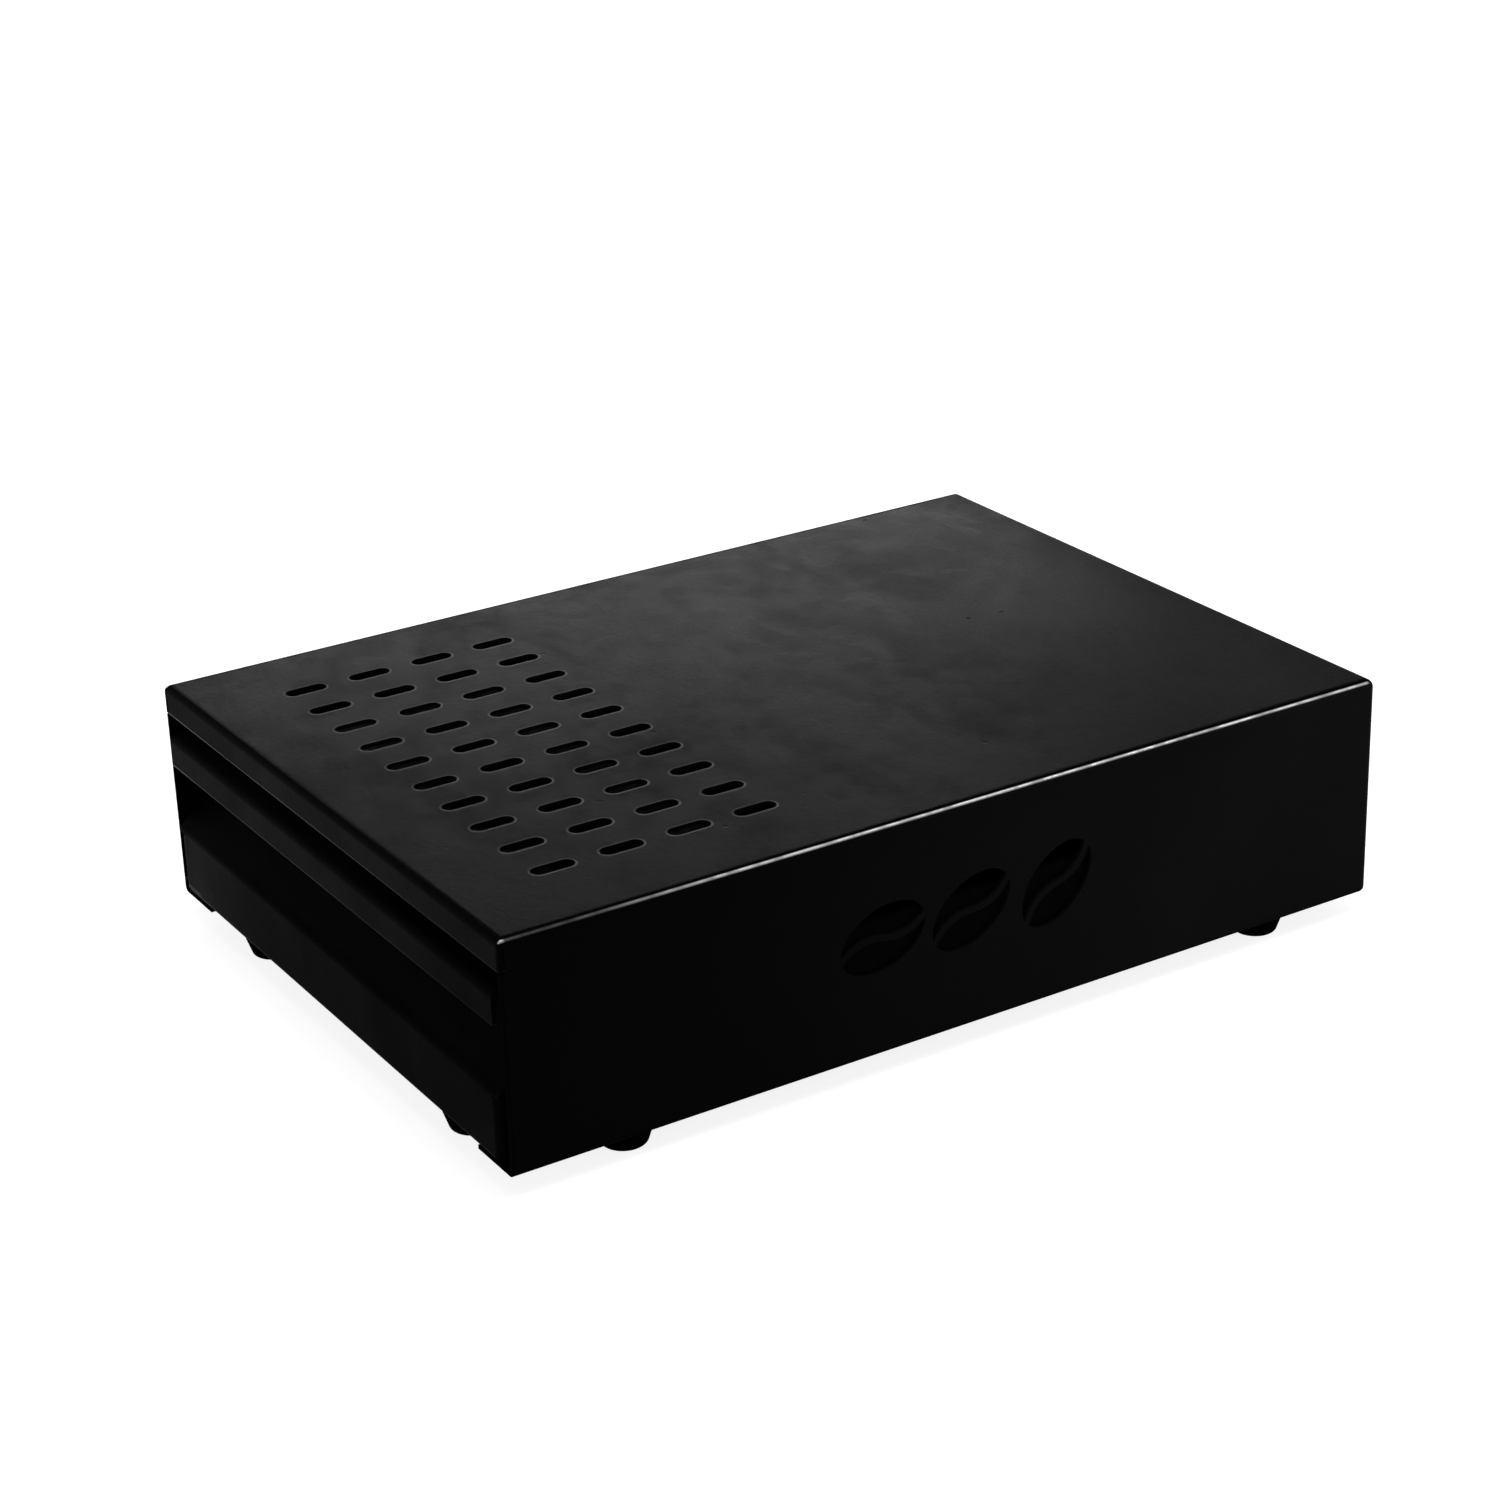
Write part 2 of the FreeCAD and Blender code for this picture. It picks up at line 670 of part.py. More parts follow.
def make_case_shell():
    outer = case_block("case_outer", "0")
    inner = case_block("case_hollow", "case_sheet")
    length = (f"{CASE_FRONT} - case_sheet", f"{CASE_REAR} + case_sheet")
    bottom = block("bottom_window", both(RETURN_EDGE), length,
                   (f"{CASE_BASE} - case_sheet", f"{RETURN_TOP} + case_sheet"))
    rear = block("rear_window", both(f"({HALF_WIDTH} - rear_return)"),
                 (f"{CASE_REAR} - 2 * case_sheet", f"{CASE_REAR} + case_sheet"),
                 (f"{CASE_BASE} - case_sheet", f"{CASE_TOP} - rear_return"))
    tools = [inner, front_window(), bottom, rear, bean_halves()]
    for name, sign in SIDES.items():
        ends = sorted((f"{sign} * {WALL_INNER}", f"{sign} * ({HALF_WIDTH} + case_sheet)"), key=value)
        behind = (f"{CASE_FRONT} + case_sheet", f"{CASE_FRONT} + case_sheet + flange_seam")
        through = (f"{CASE_FRONT} - case_sheet", f"{CASE_FRONT} + case_sheet + flange_seam")
        below = f"({FLANGE_BOTTOM} - flange_seam)"
        tools.append(block(f"seam_upright_{name}", ends, behind, (below, f"{CASE_TOP} - case_bend")))
        tools.append(block(f"seam_across_{name}", ends, through, (below, FLANGE_BOTTOM)))
    folded = cut("folded_sheet", outer, tools)
    body = new_body("case_shell")
    body.BaseFeature = folded
    doc.recompute()
    sketch = new_sketch(body, "XY", f"{CASE_TOP} + case_sheet")
    first_along = f"({CASE_FRONT} + slot_setback)"
    straight = "((slot_length - slot_width) / 2)"
    draw_slot(sketch, "-(slots_across - 1) / 2 * slot_pitch_across", f"{first_along} - {straight}",
              f"{first_along} + {straight}", "slot_width / 2")
    slot = body.newObject("PartDesign::Pocket", "slot")
    slot.Profile = sketch
    bind(slot, "Length", "3 * case_sheet")
    doc.recompute()
    rows = body.newObject("PartDesign::LinearPattern", "slots")
    rows.Originals = [slot]
    rows.Direction = (sketch, ["H_Axis"])
    rows.Direction2 = (sketch, ["V_Axis"])
    bind(rows, "Occurrences", "slots_across")
    bind(rows, "Length", "(slots_across - 1) * slot_pitch_across")
    bind(rows, "Occurrences2", "slots_along")
    bind(rows, "Length2", "(slots_along - 1) * slot_pitch_along")
    body.Tip = rows
    doc.recompute()
    under = (f"{CASE_BASE} - case_sheet", f"{RETURN_TOP} + case_sheet / 2")
    holes(body, "XY", CLINCH_HOLE, SIDE_FEET, *under)
    holes(body, "XY", RIVET_HOLE, RAIL_RIVETS, *under)
    holes(body, "XZ", SMALL_HOLE, PANEL_SCREWS, PANEL_REAR, f"{CASE_REAR} + case_sheet")
    return keep(body, "case_shell")


def make_rear_panel():
    body = new_body("rear_panel")
    top = f"({CASE_TOP} - case_bend - panel_gap)"
    tip = f"({PANEL_REAR} - panel_flange)"
    floor = f"({CASE_BASE} + panel_sheet)"
    section = [(PANEL_REAR, CASE_BASE), (PANEL_REAR, top), (PANEL_FACE, top)]
    section += [(PANEL_FACE, floor), (tip, floor), (tip, CASE_BASE)]
    pad(body, "YZ", [section], *both(PANEL_HALF))
    round_edges(body, "case_bend", [(None, PANEL_REAR, CASE_BASE)])
    round_edges(body, "case_bend - panel_sheet", [(None, PANEL_FACE, floor)])
    notch_edge = f"({RETURN_EDGE} - panel_notch_gap)"
    upright = (f"{CASE_BASE} - case_sheet", f"{RETURN_TOP} + case_bend")
    notches = [rectangle((f"-{HALF_WIDTH}", f"-{notch_edge}"), upright),
               rectangle((notch_edge, HALF_WIDTH), upright)]
    pocket(body, "XZ", notches, f"{tip} - case_sheet", CASE_REAR)
    holes(body, "XZ", CLINCH_HOLE, PANEL_SCREWS, f"{PANEL_FACE} - panel_sheet / 2", PANEL_REAR)
    holes(body, "XY", CLINCH_HOLE, PANEL_FEET, CASE_BASE, f"{floor} + panel_sheet / 2")
    return keep(body, "rear_panel")


def make_front_rail():
    body = new_body("front_rail")
    end = f"({WALL_INNER} - rail_end_gap)"
    high = f"({RETURN_EDGE} - rail_joggle_gap)"
    low = f"({high} - rail_joggle)"
    lifted = RETURN_TOP
    right_side = [(low, CASE_BASE), (high, lifted), (end, lifted), (end, f"{lifted} + rail_sheet"),
                  (high, f"{lifted} + rail_sheet"), (low, f"{CASE_BASE} + rail_sheet")]
    left_side = [(f"-{across}", up) for across, up in reversed(right_side)]
    pad(body, "XZ", [right_side + left_side], RAIL_FRONT, RAIL_REAR)
    upright = (CASE_BASE, f"{lifted} + 2 * rail_sheet")
    holes(body, "XY", CLINCH_HOLE, RAIL_FEET, *upright)
    holes(body, "XY", RIVET_HOLE, RAIL_RIVETS, *upright)
    return keep(body, "front_rail")


def make_foot(label, x, y):
    recess_top = "foot_recess_depth"
    points = [(SMALL_HOLE, recess_top), ("foot_recess_radius", recess_top), ("foot_recess_radius", "0"),
              ("foot_bottom_radius", "0"), ("foot_top_radius", "foot_height"), (SMALL_HOLE, "foot_height")]
    body = turned(label, points)
    round_ring(body, "foot_edge", [("foot_bottom_radius", "0")])
    place(body, UPWARD, x, y, "0")
    return keep(body, label)


def make_case():
    make_case_shell()
    make_rear_panel()
    make_front_rail()
    panel_screw = small_screw("panel_screw", "panel_screw_length")
    copies("rear_panel_screws", panel_screw, [(REARWARD, x, CASE_REAR, z) for x, z in PANEL_SCREWS])
    panel_nut = clinch_nut("panel_nut", "panel_sheet")
    copies("rear_panel_nuts", panel_nut, [(FRONTWARD, x, PANEL_FACE, z) for x, z in PANEL_SCREWS])
    rail_rivet = rivet("rail_rivet", "case_sheet + rail_sheet")
    copies("front_rail_rivets", rail_rivet, [(DOWNWARD, x, y, CASE_BASE) for x, y in RAIL_RIVETS])
    for label, (x, y) in FEET.items():
        make_foot(label, x, y)
    foot_screw = small_screw("foot_screw", "foot_screw_length")
    foot_washer = washer("foot_washer", SMALL_HOLE, "washer_radius", "washer_thickness")
    foot_nut = clinch_nut("foot_nut", "case_sheet")
    seat = "(foot_recess_depth - washer_thickness)"
    copies("foot_screws", foot_screw, [(DOWNWARD, x, y, seat) for x, y in FEET.values()])
    copies("foot_washers", foot_washer, [(UPWARD, x, y, seat) for x, y in FEET.values()])
    copies("foot_nuts", foot_nut, [(UPWARD, x, y, RETURN_TOP) for x, y in FEET.values()])


# Ball-bearing slides. Depths are measured from the case wall towards the drawer.

OUTER_HALF = "(slide_height / 2)"
OUTER_BALL = f"({OUTER_HALF} - slide_sheet + groove_depth - ball_clearance - ball_radius)"
MIDDLE_HALF = f"({OUTER_BALL} - ball_radius - ball_clearance + groove_depth)"
INNER_BALL = f"({MIDDLE_HALF} - slide_sheet + groove_depth - ball_clearance - ball_radius)"
INNER_HALF = f"({INNER_BALL} - ball_radius - ball_clearance + groove_depth)"
GROOVE_OFFSET = "(groove_radius - ball_radius - ball_clearance)"

OUTER_CAGE_BACK = "(slide_sheet + member_gap)"
MIDDLE_BACK = f"({OUTER_CAGE_BACK} + cage_sheet + member_gap)"
INNER_CAGE_BACK = f"({MIDDLE_BACK} + slide_sheet + member_gap)"
INNER_TIPS = f"({INNER_CAGE_BACK} + cage_sheet + member_gap)"
OUTER_TRACK = f"({MIDDLE_BACK} + track_inset)"
INNER_TRACK = "(slide_thickness - slide_sheet - track_inset + member_gap / 2)"
OUTER_TIPS = f"({OUTER_TRACK} + tip_margin)"
MIDDLE_TIPS = f"({INNER_TRACK} + tip_margin)"


def depth_at(sign, depth):
    """The X of a depth inside the case, on the left or on the right."""
    return f"({sign} * ({WALL_INNER} - ({depth})))"


def both_rows(height):
    """The same height above and below the slides' middle."""
    return f"({SLIDE_CENTRE} - {height})", f"({SLIDE_CENTRE} + {height})"


def channel(label, sign, depths, half_height, thickness, bend, ends):
    """A long folded channel: its back at one depth, and the tips of its two flanges at another."""
    back, tips = depths
    opens = 1 if value(tips) > value(back) else -1
    face = f"({back} + {opens} * {thickness})"
    inner_half = f"({half_height} - {thickness})"
    upper = [(tips, inner_half), (tips, half_height), (back, half_height)]
    lower = [(back, f"-{half_height}"), (tips, f"-{half_height}"), (tips, f"-{inner_half}")]
    section = [(face, f"-{inner_half}"), (face, inner_half)] + upper + lower
    outline = [(depth_at(sign, depth), f"({SLIDE_CENTRE} + {height})") for depth, height in section]
    body = new_body(label)
    pad(body, "XZ", [outline], *ends)
    round_edges(body, bend, [(depth_at(sign, back), None, row) for row in both_rows(half_height)])
    inside = [(depth_at(sign, face), None, row) for row in both_rows(inner_half)]
    round_edges(body, f"{bend} - {thickness}", inside)
    return body


def grooves(body, sign, track, height):
    """Two ball grooves along a member, with their centres above and below its middle."""
    spots = [(depth_at(sign, track), row) for row in both_rows(height)]
    holes(body, "XZ", "groove_radius", spots, CASE_FRONT, CASE_REAR)


def ball_places():
    """Places of the balls along a cage, from its front end."""
    count = int(value("balls_per_row"))
    step = "((cage_length - 2 * ball_margin) / (balls_per_row - 1))"
    start = f"({SLIDE_FRONT} + cage_start + ball_margin)"
    return [f"({start} + {number} * {step})" for number in range(count)]


def make_cage(label, sign, back, track, ball_height):
    """A cage with a hole for each ball, between two members."""
    start = f"({SLIDE_FRONT} + cage_start)"
    depths = (back, f"({track} + cage_tip_margin)")
    half_height = f"({ball_height} + cage_lap)"
    ends = (start, f"{start} + cage_length")
    cage = channel(label, sign, depths, half_height, "cage_sheet", "cage_bend", ends)
    spots = [(depth_at(sign, track), y) for y in ball_places()]
    holes(cage, "XY", "ball_radius + ball_hole_clearance", spots, *both_rows(OUTER_HALF))
    keep(cage, label)


def make_slide(side, sign, ball):
    ends = (SLIDE_FRONT, SLIDE_REAR)
    outer_rear = f"({SLIDE_REAR} + buffer_length)"
    outer = channel(f"slide_outer_{side}", sign, ("0", OUTER_TIPS), OUTER_HALF, "slide_sheet", "slide_bend",
                    (SLIDE_FRONT, outer_rear))
    grooves(outer, sign, OUTER_TRACK, f"({OUTER_BALL} - {GROOVE_OFFSET})")
    keep(outer, f"slide_outer_{side}")

    middle = channel(f"slide_middle_{side}", sign, (MIDDLE_BACK, MIDDLE_TIPS), MIDDLE_HALF, "slide_sheet",
                     "slide_bend", ends)
    grooves(middle, sign, OUTER_TRACK, f"({OUTER_BALL} + {GROOVE_OFFSET})")
    grooves(middle, sign, INNER_TRACK, f"({INNER_BALL} - {GROOVE_OFFSET})")
    keep(middle, f"slide_middle_{side}")

    inner = channel(f"slide_inner_{side}", sign, ("slide_thickness", INNER_TIPS), INNER_HALF, "slide_sheet",
                    "slide_bend", ends)
    grooves(inner, sign, INNER_TRACK, f"({INNER_BALL} + {GROOVE_OFFSET})")
    web = (depth_at(sign, "slide_thickness + slide_sheet"), depth_at(sign, INNER_TIPS))
    holes(inner, "YZ", SMALL_HOLE, [(y, SLIDE_CENTRE) for y in SLIDE_SCREWS], *sorted(web, key=value))
    keep(inner, f"slide_inner_{side}")

    for kind, back, track, ball_height in (("outer", OUTER_CAGE_BACK, OUTER_TRACK, OUTER_BALL),
                                           ("inner", INNER_CAGE_BACK, INNER_TRACK, INNER_BALL)):
        make_cage(f"ball_cage_{kind}_{side}", sign, back, track, ball_height)
        x = depth_at(sign, track)
        places = [(UPWARD, x, y, row) for row in both_rows(ball_height) for y in ball_places()]
        copies(f"balls_{kind}_{side}", ball, places)

    buffer = new_body(f"slide_buffer_{side}")
    face = depth_at(sign, "slide_sheet")
    rows = both_rows(f"({OUTER_HALF} - slide_sheet)")
    across = sorted((face, depth_at(sign, MIDDLE_TIPS)), key=value)
    pad(buffer, "XZ", [rectangle(across, rows)], f"{SLIDE_REAR} + buffer_gap", outer_rear)
    round_edges(buffer, "slide_bend - slide_sheet", [(face, None, row) for row in rows])
    keep(buffer, f"slide_buffer_{side}")


def make_slides():
    ball = doc.addObject("Part::Sphere", "ball")
    bind(ball, "Radius", "ball_radius")
    for side, sign in SIDES.items():
        make_slide(side, sign, ball)


# Drawer.

def make_drawer_front():
    body = new_body("drawer_front")
    lip_inside = f"({FRONT_FACE} + front_sheet)"
    recess_face = f"({RECESS_BACK} - front_sheet)"
    under_end = f"({FRONT_FACE} + front_under_return)"
    floor = f"({FRONT_BOTTOM} + front_sheet)"
    slope_back = "(front_sheet * sqrt(2))"
    hidden_side = [(FRONT_FACE, LIP_BOTTOM), (FRONT_FACE, LIP_TOP), (RECESS_BACK, LIP_TOP),
                   (RECESS_BACK, f"({SLOPE_FOOT} + recess_depth - {slope_back})"),
                   (lip_inside, f"({SLOPE_FOOT} + front_sheet - {slope_back})"), (lip_inside, floor),
                   (under_end, floor)]
    shown_side = [(under_end, FRONT_BOTTOM), (FRONT_FACE, FRONT_BOTTOM), (FRONT_FACE, SLOPE_FOOT),
                  (recess_face, f"({SLOPE_FOOT} + recess_depth - front_sheet)"),
                  (recess_face, f"({LIP_TOP} - front_sheet)"), (lip_inside, f"({LIP_TOP} - front_sheet)"),
                  (lip_inside, LIP_BOTTOM)]
    pad(body, "YZ", [hidden_side + shown_side], *both(LIP_HALF))
    outside = [hidden_side[1], hidden_side[2], hidden_side[3], shown_side[1], shown_side[2]]
    inside = [shown_side[5], shown_side[4], shown_side[3], hidden_side[5], hidden_side[4]]
    round_edges(body, "front_bend", [(None, y, z) for y, z in outside])
    round_edges(body, "front_bend - front_sheet", [(None, y, z) for y, z in inside])
    bend_start = f"({FRONT_HALF} - front_bend - front_bend_margin)"
    return_top = f"({SLOPE_FOOT} - front_return_gap)"
    face = (f"({FRONT_FACE} - front_sheet)", f"({under_end} + front_sheet)")
    ends = [rectangle((f"-{HALF_WIDTH}", f"-{bend_start}"), face), rectangle((bend_start, HALF_WIDTH), face)]
    pocket(body, "XY", ends, f"{FRONT_BOTTOM} - front_sheet", return_top)
    for sign in SIDES.values():
        end = f"({sign} * {FRONT_HALF})"
        end_inside = f"({sign} * ({FRONT_HALF} - front_sheet))"
        start = f"({sign} * {bend_start})"
        back = f"({FRONT_FACE} + front_side_return)"
        corner = [(start, FRONT_FACE), (end, FRONT_FACE), (end, back), (end_inside, back)]
        corner += [(end_inside, lip_inside), (start, lip_inside)]
        pad(body, "XY", [corner], f"{floor} + front_relief", f"{return_top} - front_relief")
        round_edges(body, "front_bend - front_sheet", [(end_inside, lip_inside, None)])
        round_edges(body, "front_bend", [(end, FRONT_FACE, None)])
    through_recess = (f"{recess_face} - front_sheet", f"{RECESS_BACK} + front_sheet")
    holes(body, "XZ", SMALL_HOLE, FRONT_SCREWS, *through_recess)
    keep(body, "drawer_front")
    front_screw = small_screw("front_screw", "front_screw_length")
    copies("drawer_front_screws", front_screw, [(FRONTWARD, x, recess_face, z) for x, z in FRONT_SCREWS])
    front_nut = hex_nut("front_nut")
    wall = f"({TRAY_FRONT} + tray_sheet)"
    copies("drawer_front_nuts", front_nut, [(REARWARD, x, wall, z) for x, z in FRONT_SCREWS])


def make_tray():
    body = new_body("drawer_tray")
    pad(body, "XY", [rectangle(both(TRAY_HALF), (TRAY_FRONT, TRAY_REAR))], TRAY_BOTTOM, TRAY_TOP)
    bends = [(None, TRAY_FRONT, TRAY_BOTTOM), (None, TRAY_REAR, TRAY_BOTTOM)]
    bends += [(edge, None, TRAY_BOTTOM) for edge in both(TRAY_HALF)]
    round_edges(body, "tray_bend", bends)
    hollow(body, "tray_sheet", TRAY_TOP)
    slit_edge = f"({TRAY_INNER} - tray_slit)"
    slits = []
    for low, high in ((f"({TRAY_FRONT} - tray_sheet)", f"({TRAY_FRONT} + tray_sheet)"),
                      (f"({TRAY_REAR} - tray_sheet)", f"({TRAY_REAR} + tray_sheet)")):
        slits.append(rectangle((slit_edge, TRAY_INNER), (low, high)))
        slits.append(rectangle((f"-{TRAY_INNER}", f"-{slit_edge}"), (low, high)))
    pocket(body, "XY", slits, f"{TRAY_BOTTOM} + tray_bend", f"{TRAY_TOP} + tray_sheet")
    through_front = (f"{TRAY_FRONT} - tray_sheet", f"{TRAY_FRONT} + 2 * tray_sheet")
    through_sides = (f"-{TRAY_HALF} - tray_sheet", f"{TRAY_HALF} + tray_sheet")
    holes(body, "XZ", SMALL_HOLE, FRONT_SCREWS, *through_front)
    holes(body, "YZ", SMALL_HOLE, [(y, SLIDE_CENTRE) for y in SLIDE_SCREWS], *through_sides)
    keep(body, "drawer_tray")
    slide_screw = small_screw("slide_screw", "slide_screw_length")
    slide_nut = hex_nut("slide_nut")
    screws = []
    nuts = []
    for sign in SIDES.values():
        outward = FreeCAD.Vector(sign, 0, 0)
        inward = FreeCAD.Vector(-sign, 0, 0)
        for y in SLIDE_SCREWS:
            screws.append((outward, depth_at(sign, "(slide_thickness - slide_sheet)"), y, SLIDE_CENTRE))
            nuts.append((inward, f"({sign} * {TRAY_INNER})", y, SLIDE_CENTRE))
    copies("slide_screws", slide_screw, screws)
    copies("slide_nuts", slide_nut, nuts)


# Loose bin with its bar.

def edges_on_level(shape, level, half, ends):
    """Numbers of the edges that lie at one height, on an outline of a half width and two ends."""
    found = []
    for number, edge in enumerate(shape.Edges, start=1):
        box = edge.BoundBox
        flat = max(abs(box.ZMin - value(level)), abs(box.ZMax - value(level))) < NEARLY_ZERO
        inside = box.XMax < value(half) + NEARLY_ZERO and box.YMax < value(ends[1]) + NEARLY_ZERO
        at_side = abs(max(box.XMax, -box.XMin) - value(half)) < NEARLY_ZERO
        at_end = min(abs(box.YMin - value(ends[0])), abs(box.YMax - value(ends[1]))) < NEARLY_ZERO
        if flat and inside and (at_side or at_end):
            found.append(number)
    return found


def make_bin():
    body = new_body("bin_pan")
    outer_ends = (BIN_FRONT, BIN_REAR)
    pad(body, "XY", [rectangle(both(BIN_HALF), outer_ends)], BIN_BOTTOM, BIN_TOP)
    round_edges(body, "bin_corner", [(edge, y, None) for edge in both(BIN_HALF) for y in outer_ends])
    tip = body.Tip
    floor_edges = [f"Edge{number}" for number in edges_on_level(tip.Shape, BIN_BOTTOM, BIN_HALF, outer_ends)]
    floor_bend = body.newObject("PartDesign::Fillet", "bin_floor_bends")
    floor_bend.Base = (tip, floor_edges)
    bind(floor_bend, "Radius", "bin_floor_bend")
    doc.recompute()
    hollow(body, "bin_sheet", BIN_TOP)
    width = (f"-{BIN_HALF} - bin_sheet", f"{BIN_HALF} + bin_sheet")
    holes(body, "YZ", "bar_screw_radius + small_hole_clearance", [(BAR_PLACE, BAR_HEIGHT)], *width)

    rim = new_body("bin_rim")
    rim_half = f"({TRAY_HALF} - bin_rim_gap)"
    rim_ends = (f"({TRAY_FRONT} + bin_rim_gap)", f"({TRAY_REAR} - bin_rim_gap)")
    pad(rim, "XY", [rectangle(both(rim_half), rim_ends)], TRAY_TOP, BIN_TOP)
    round_edges(rim, "bin_rim_corner", [(edge, y, None) for edge in both(rim_half) for y in rim_ends])
    opening = new_body("bin_rim_opening")
    inner_half = f"({BIN_HALF} - bin_sheet)"
    inner_ends = (f"({BIN_FRONT} + bin_sheet)", f"({BIN_REAR} - bin_sheet)")
    height = (f"{TRAY_TOP} - bin_sheet", f"{BIN_TOP} + bin_sheet")
    pad(opening, "XY", [rectangle(both(inner_half), inner_ends)], *height)
    inner_corners = [(edge, y, None) for edge in both(inner_half) for y in inner_ends]
    round_edges(opening, "bin_corner - bin_sheet", inner_corners)
    pan = doc.addObject("Part::MultiFuse", "pan_with_rim")
    pan.Shapes = [body, cut("bin_ring", rim, [opening])]
    pan.Refine = True
    doc.recompute()

    bends = []
    for radius, level, half, ends in (("bin_rim_bend", BIN_TOP, inner_half, inner_ends),
                                      ("bin_rim_bend - bin_sheet", TRAY_TOP, BIN_HALF, outer_ends)):
        for number in edges_on_level(pan.Shape, level, half, ends):
            bends.append((number, value(radius), value(radius)))
    finished = doc.addObject("Part::Fillet", "grounds_bin")
    finished.Base = pan
    finished.Edges = bends
    keep(finished, "grounds_bin")


def make_bar():
    bore = "(bar_screw_radius + thread_clearance)"
    inner_end = f"({BAR_HALF} - bar_thread_depth)"
    points = [("0", f"-{inner_end}"), (bore, f"-{inner_end}"), (bore, f"-{BAR_HALF}")]
    points += [("bar_radius", f"-{BAR_HALF}"), ("bar_radius", BAR_HALF), (bore, BAR_HALF)]
    points += [(bore, inner_end), ("0", inner_end)]
    bar = turned("knock_bar", points)
    round_ring(bar, "bar_chamfer", [("bar_radius", end) for end in both(BAR_HALF)])
    keep(place(bar, RIGHTWARD, "0", BAR_PLACE, BAR_HEIGHT), "knock_bar")

    sleeve_end = f"({BAR_HALF} - sleeve_end_gap)"
    sleeve_bore = "(bar_radius + sleeve_clearance)"
    sleeve = turned("knock_bar_sleeve", [(sleeve_bore, f"-{sleeve_end}"), ("sleeve_radius", f"-{sleeve_end}"),
                                         ("sleeve_radius", sleeve_end), (sleeve_bore, sleeve_end)])
    round_ring(sleeve, "sleeve_round", [("sleeve_radius", end) for end in both(sleeve_end)])
    keep(place(sleeve, RIGHTWARD, "0", BAR_PLACE, BAR_HEIGHT), "knock_bar_sleeve")

    bar_screw = socket_screw("bar_screw", "bar_screw_radius", "bar_screw_length", "bar_head_radius",
                             "bar_head_height", "bar_socket", "bar_socket_depth")
    bar_washer = washer("bar_washer", "bar_screw_radius + small_hole_clearance", "bar_washer_radius",
                        "bar_washer_thickness")
    screws = []
    washers = []
    for sign in SIDES.values():
        outward = FreeCAD.Vector(sign, 0, 0)
        head = f"({sign} * ({BIN_HALF} + bar_washer_thickness))"
        screws.append((outward, head, BAR_PLACE, BAR_HEIGHT))
        washers.append((outward, f"({sign} * {BIN_HALF})", BAR_PLACE, BAR_HEIGHT))
    copies("knock_bar_screws", bar_screw, screws)
    copies("knock_bar_washers", bar_washer, washers)


make_case()
make_slides()
make_drawer_front()
make_tray()
make_bin()
make_bar()
doc.recompute()

# Every object has to be sound before anything is written.
for item in doc.Objects:
    if {"Invalid", "Error"} & set(item.State):
        raise RuntimeError(f"{item.Label} failed: {item.State}")
for node in nodes:
    if node.Shape.isNull() or not node.Shape.isValid():
        raise RuntimeError(f"{node.Label} has no sound shape")

os.makedirs("parts", exist_ok=True)
for node in nodes:
    node.Shape.exportStep(f"parts/{node.Label}.step")
    box = node.Shape.BoundBox
    spans = f"x {box.XMin:.1f} {box.XMax:.1f}, y {box.YMin:.1f} {box.YMax:.1f}, z {box.ZMin:.1f} {box.ZMax:.1f}"
    print(f"{node.Label}: {len(node.Shape.Solids)} solids, {node.Shape.Volume:.0f} mm3, {spans}")
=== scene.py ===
# %% [markdown]
# # A knock box drawer, dressed for the camera
#
# The object is a low box of folded steel with a black powder coat. A drawer in its short side holds a pan
# for spent coffee. The engineering model gives every piece its shape and place. This lesson adds what a
# camera sees: the coat, the soft edges that a coat leaves on cut steel, the rubber, the light and the view.
# All lengths are in metres. X runs to the right, Y to the rear and Z up.

import json
import math

import bpy
from mathutils import Matrix, Vector

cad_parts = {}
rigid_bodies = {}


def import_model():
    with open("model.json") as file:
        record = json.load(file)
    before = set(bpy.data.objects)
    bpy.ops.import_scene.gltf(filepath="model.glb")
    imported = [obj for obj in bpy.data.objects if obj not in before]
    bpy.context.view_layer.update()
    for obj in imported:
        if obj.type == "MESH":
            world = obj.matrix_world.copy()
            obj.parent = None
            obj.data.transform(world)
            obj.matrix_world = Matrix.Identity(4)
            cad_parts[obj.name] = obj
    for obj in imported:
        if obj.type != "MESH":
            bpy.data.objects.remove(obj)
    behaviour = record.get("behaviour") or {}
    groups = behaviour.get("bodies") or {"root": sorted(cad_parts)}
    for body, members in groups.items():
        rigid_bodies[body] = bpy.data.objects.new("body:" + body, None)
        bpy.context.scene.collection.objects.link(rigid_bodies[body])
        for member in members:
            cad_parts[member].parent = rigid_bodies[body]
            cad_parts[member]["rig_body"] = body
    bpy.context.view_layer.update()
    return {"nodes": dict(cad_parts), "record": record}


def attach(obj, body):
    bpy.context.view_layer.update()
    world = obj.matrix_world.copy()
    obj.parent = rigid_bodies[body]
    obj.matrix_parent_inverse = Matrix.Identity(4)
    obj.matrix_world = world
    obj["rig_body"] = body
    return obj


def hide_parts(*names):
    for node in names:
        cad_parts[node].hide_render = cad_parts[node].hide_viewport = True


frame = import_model()
nodes = frame["nodes"]
node_slots = {part["node"]: part["material_slot"] for part in frame["record"]["subparts"]}
node_bodies = {name: thing["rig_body"] for name, thing in nodes.items()}

# %% [markdown]
# ## The camera
#
# The view was worked out from the case's edges and the rows of slots. The camera stands in front and to the
# right, a bit over a metre away, and looks down on the top. Its three axes are written out from three
# angles, because an aimed camera would lose the small roll.

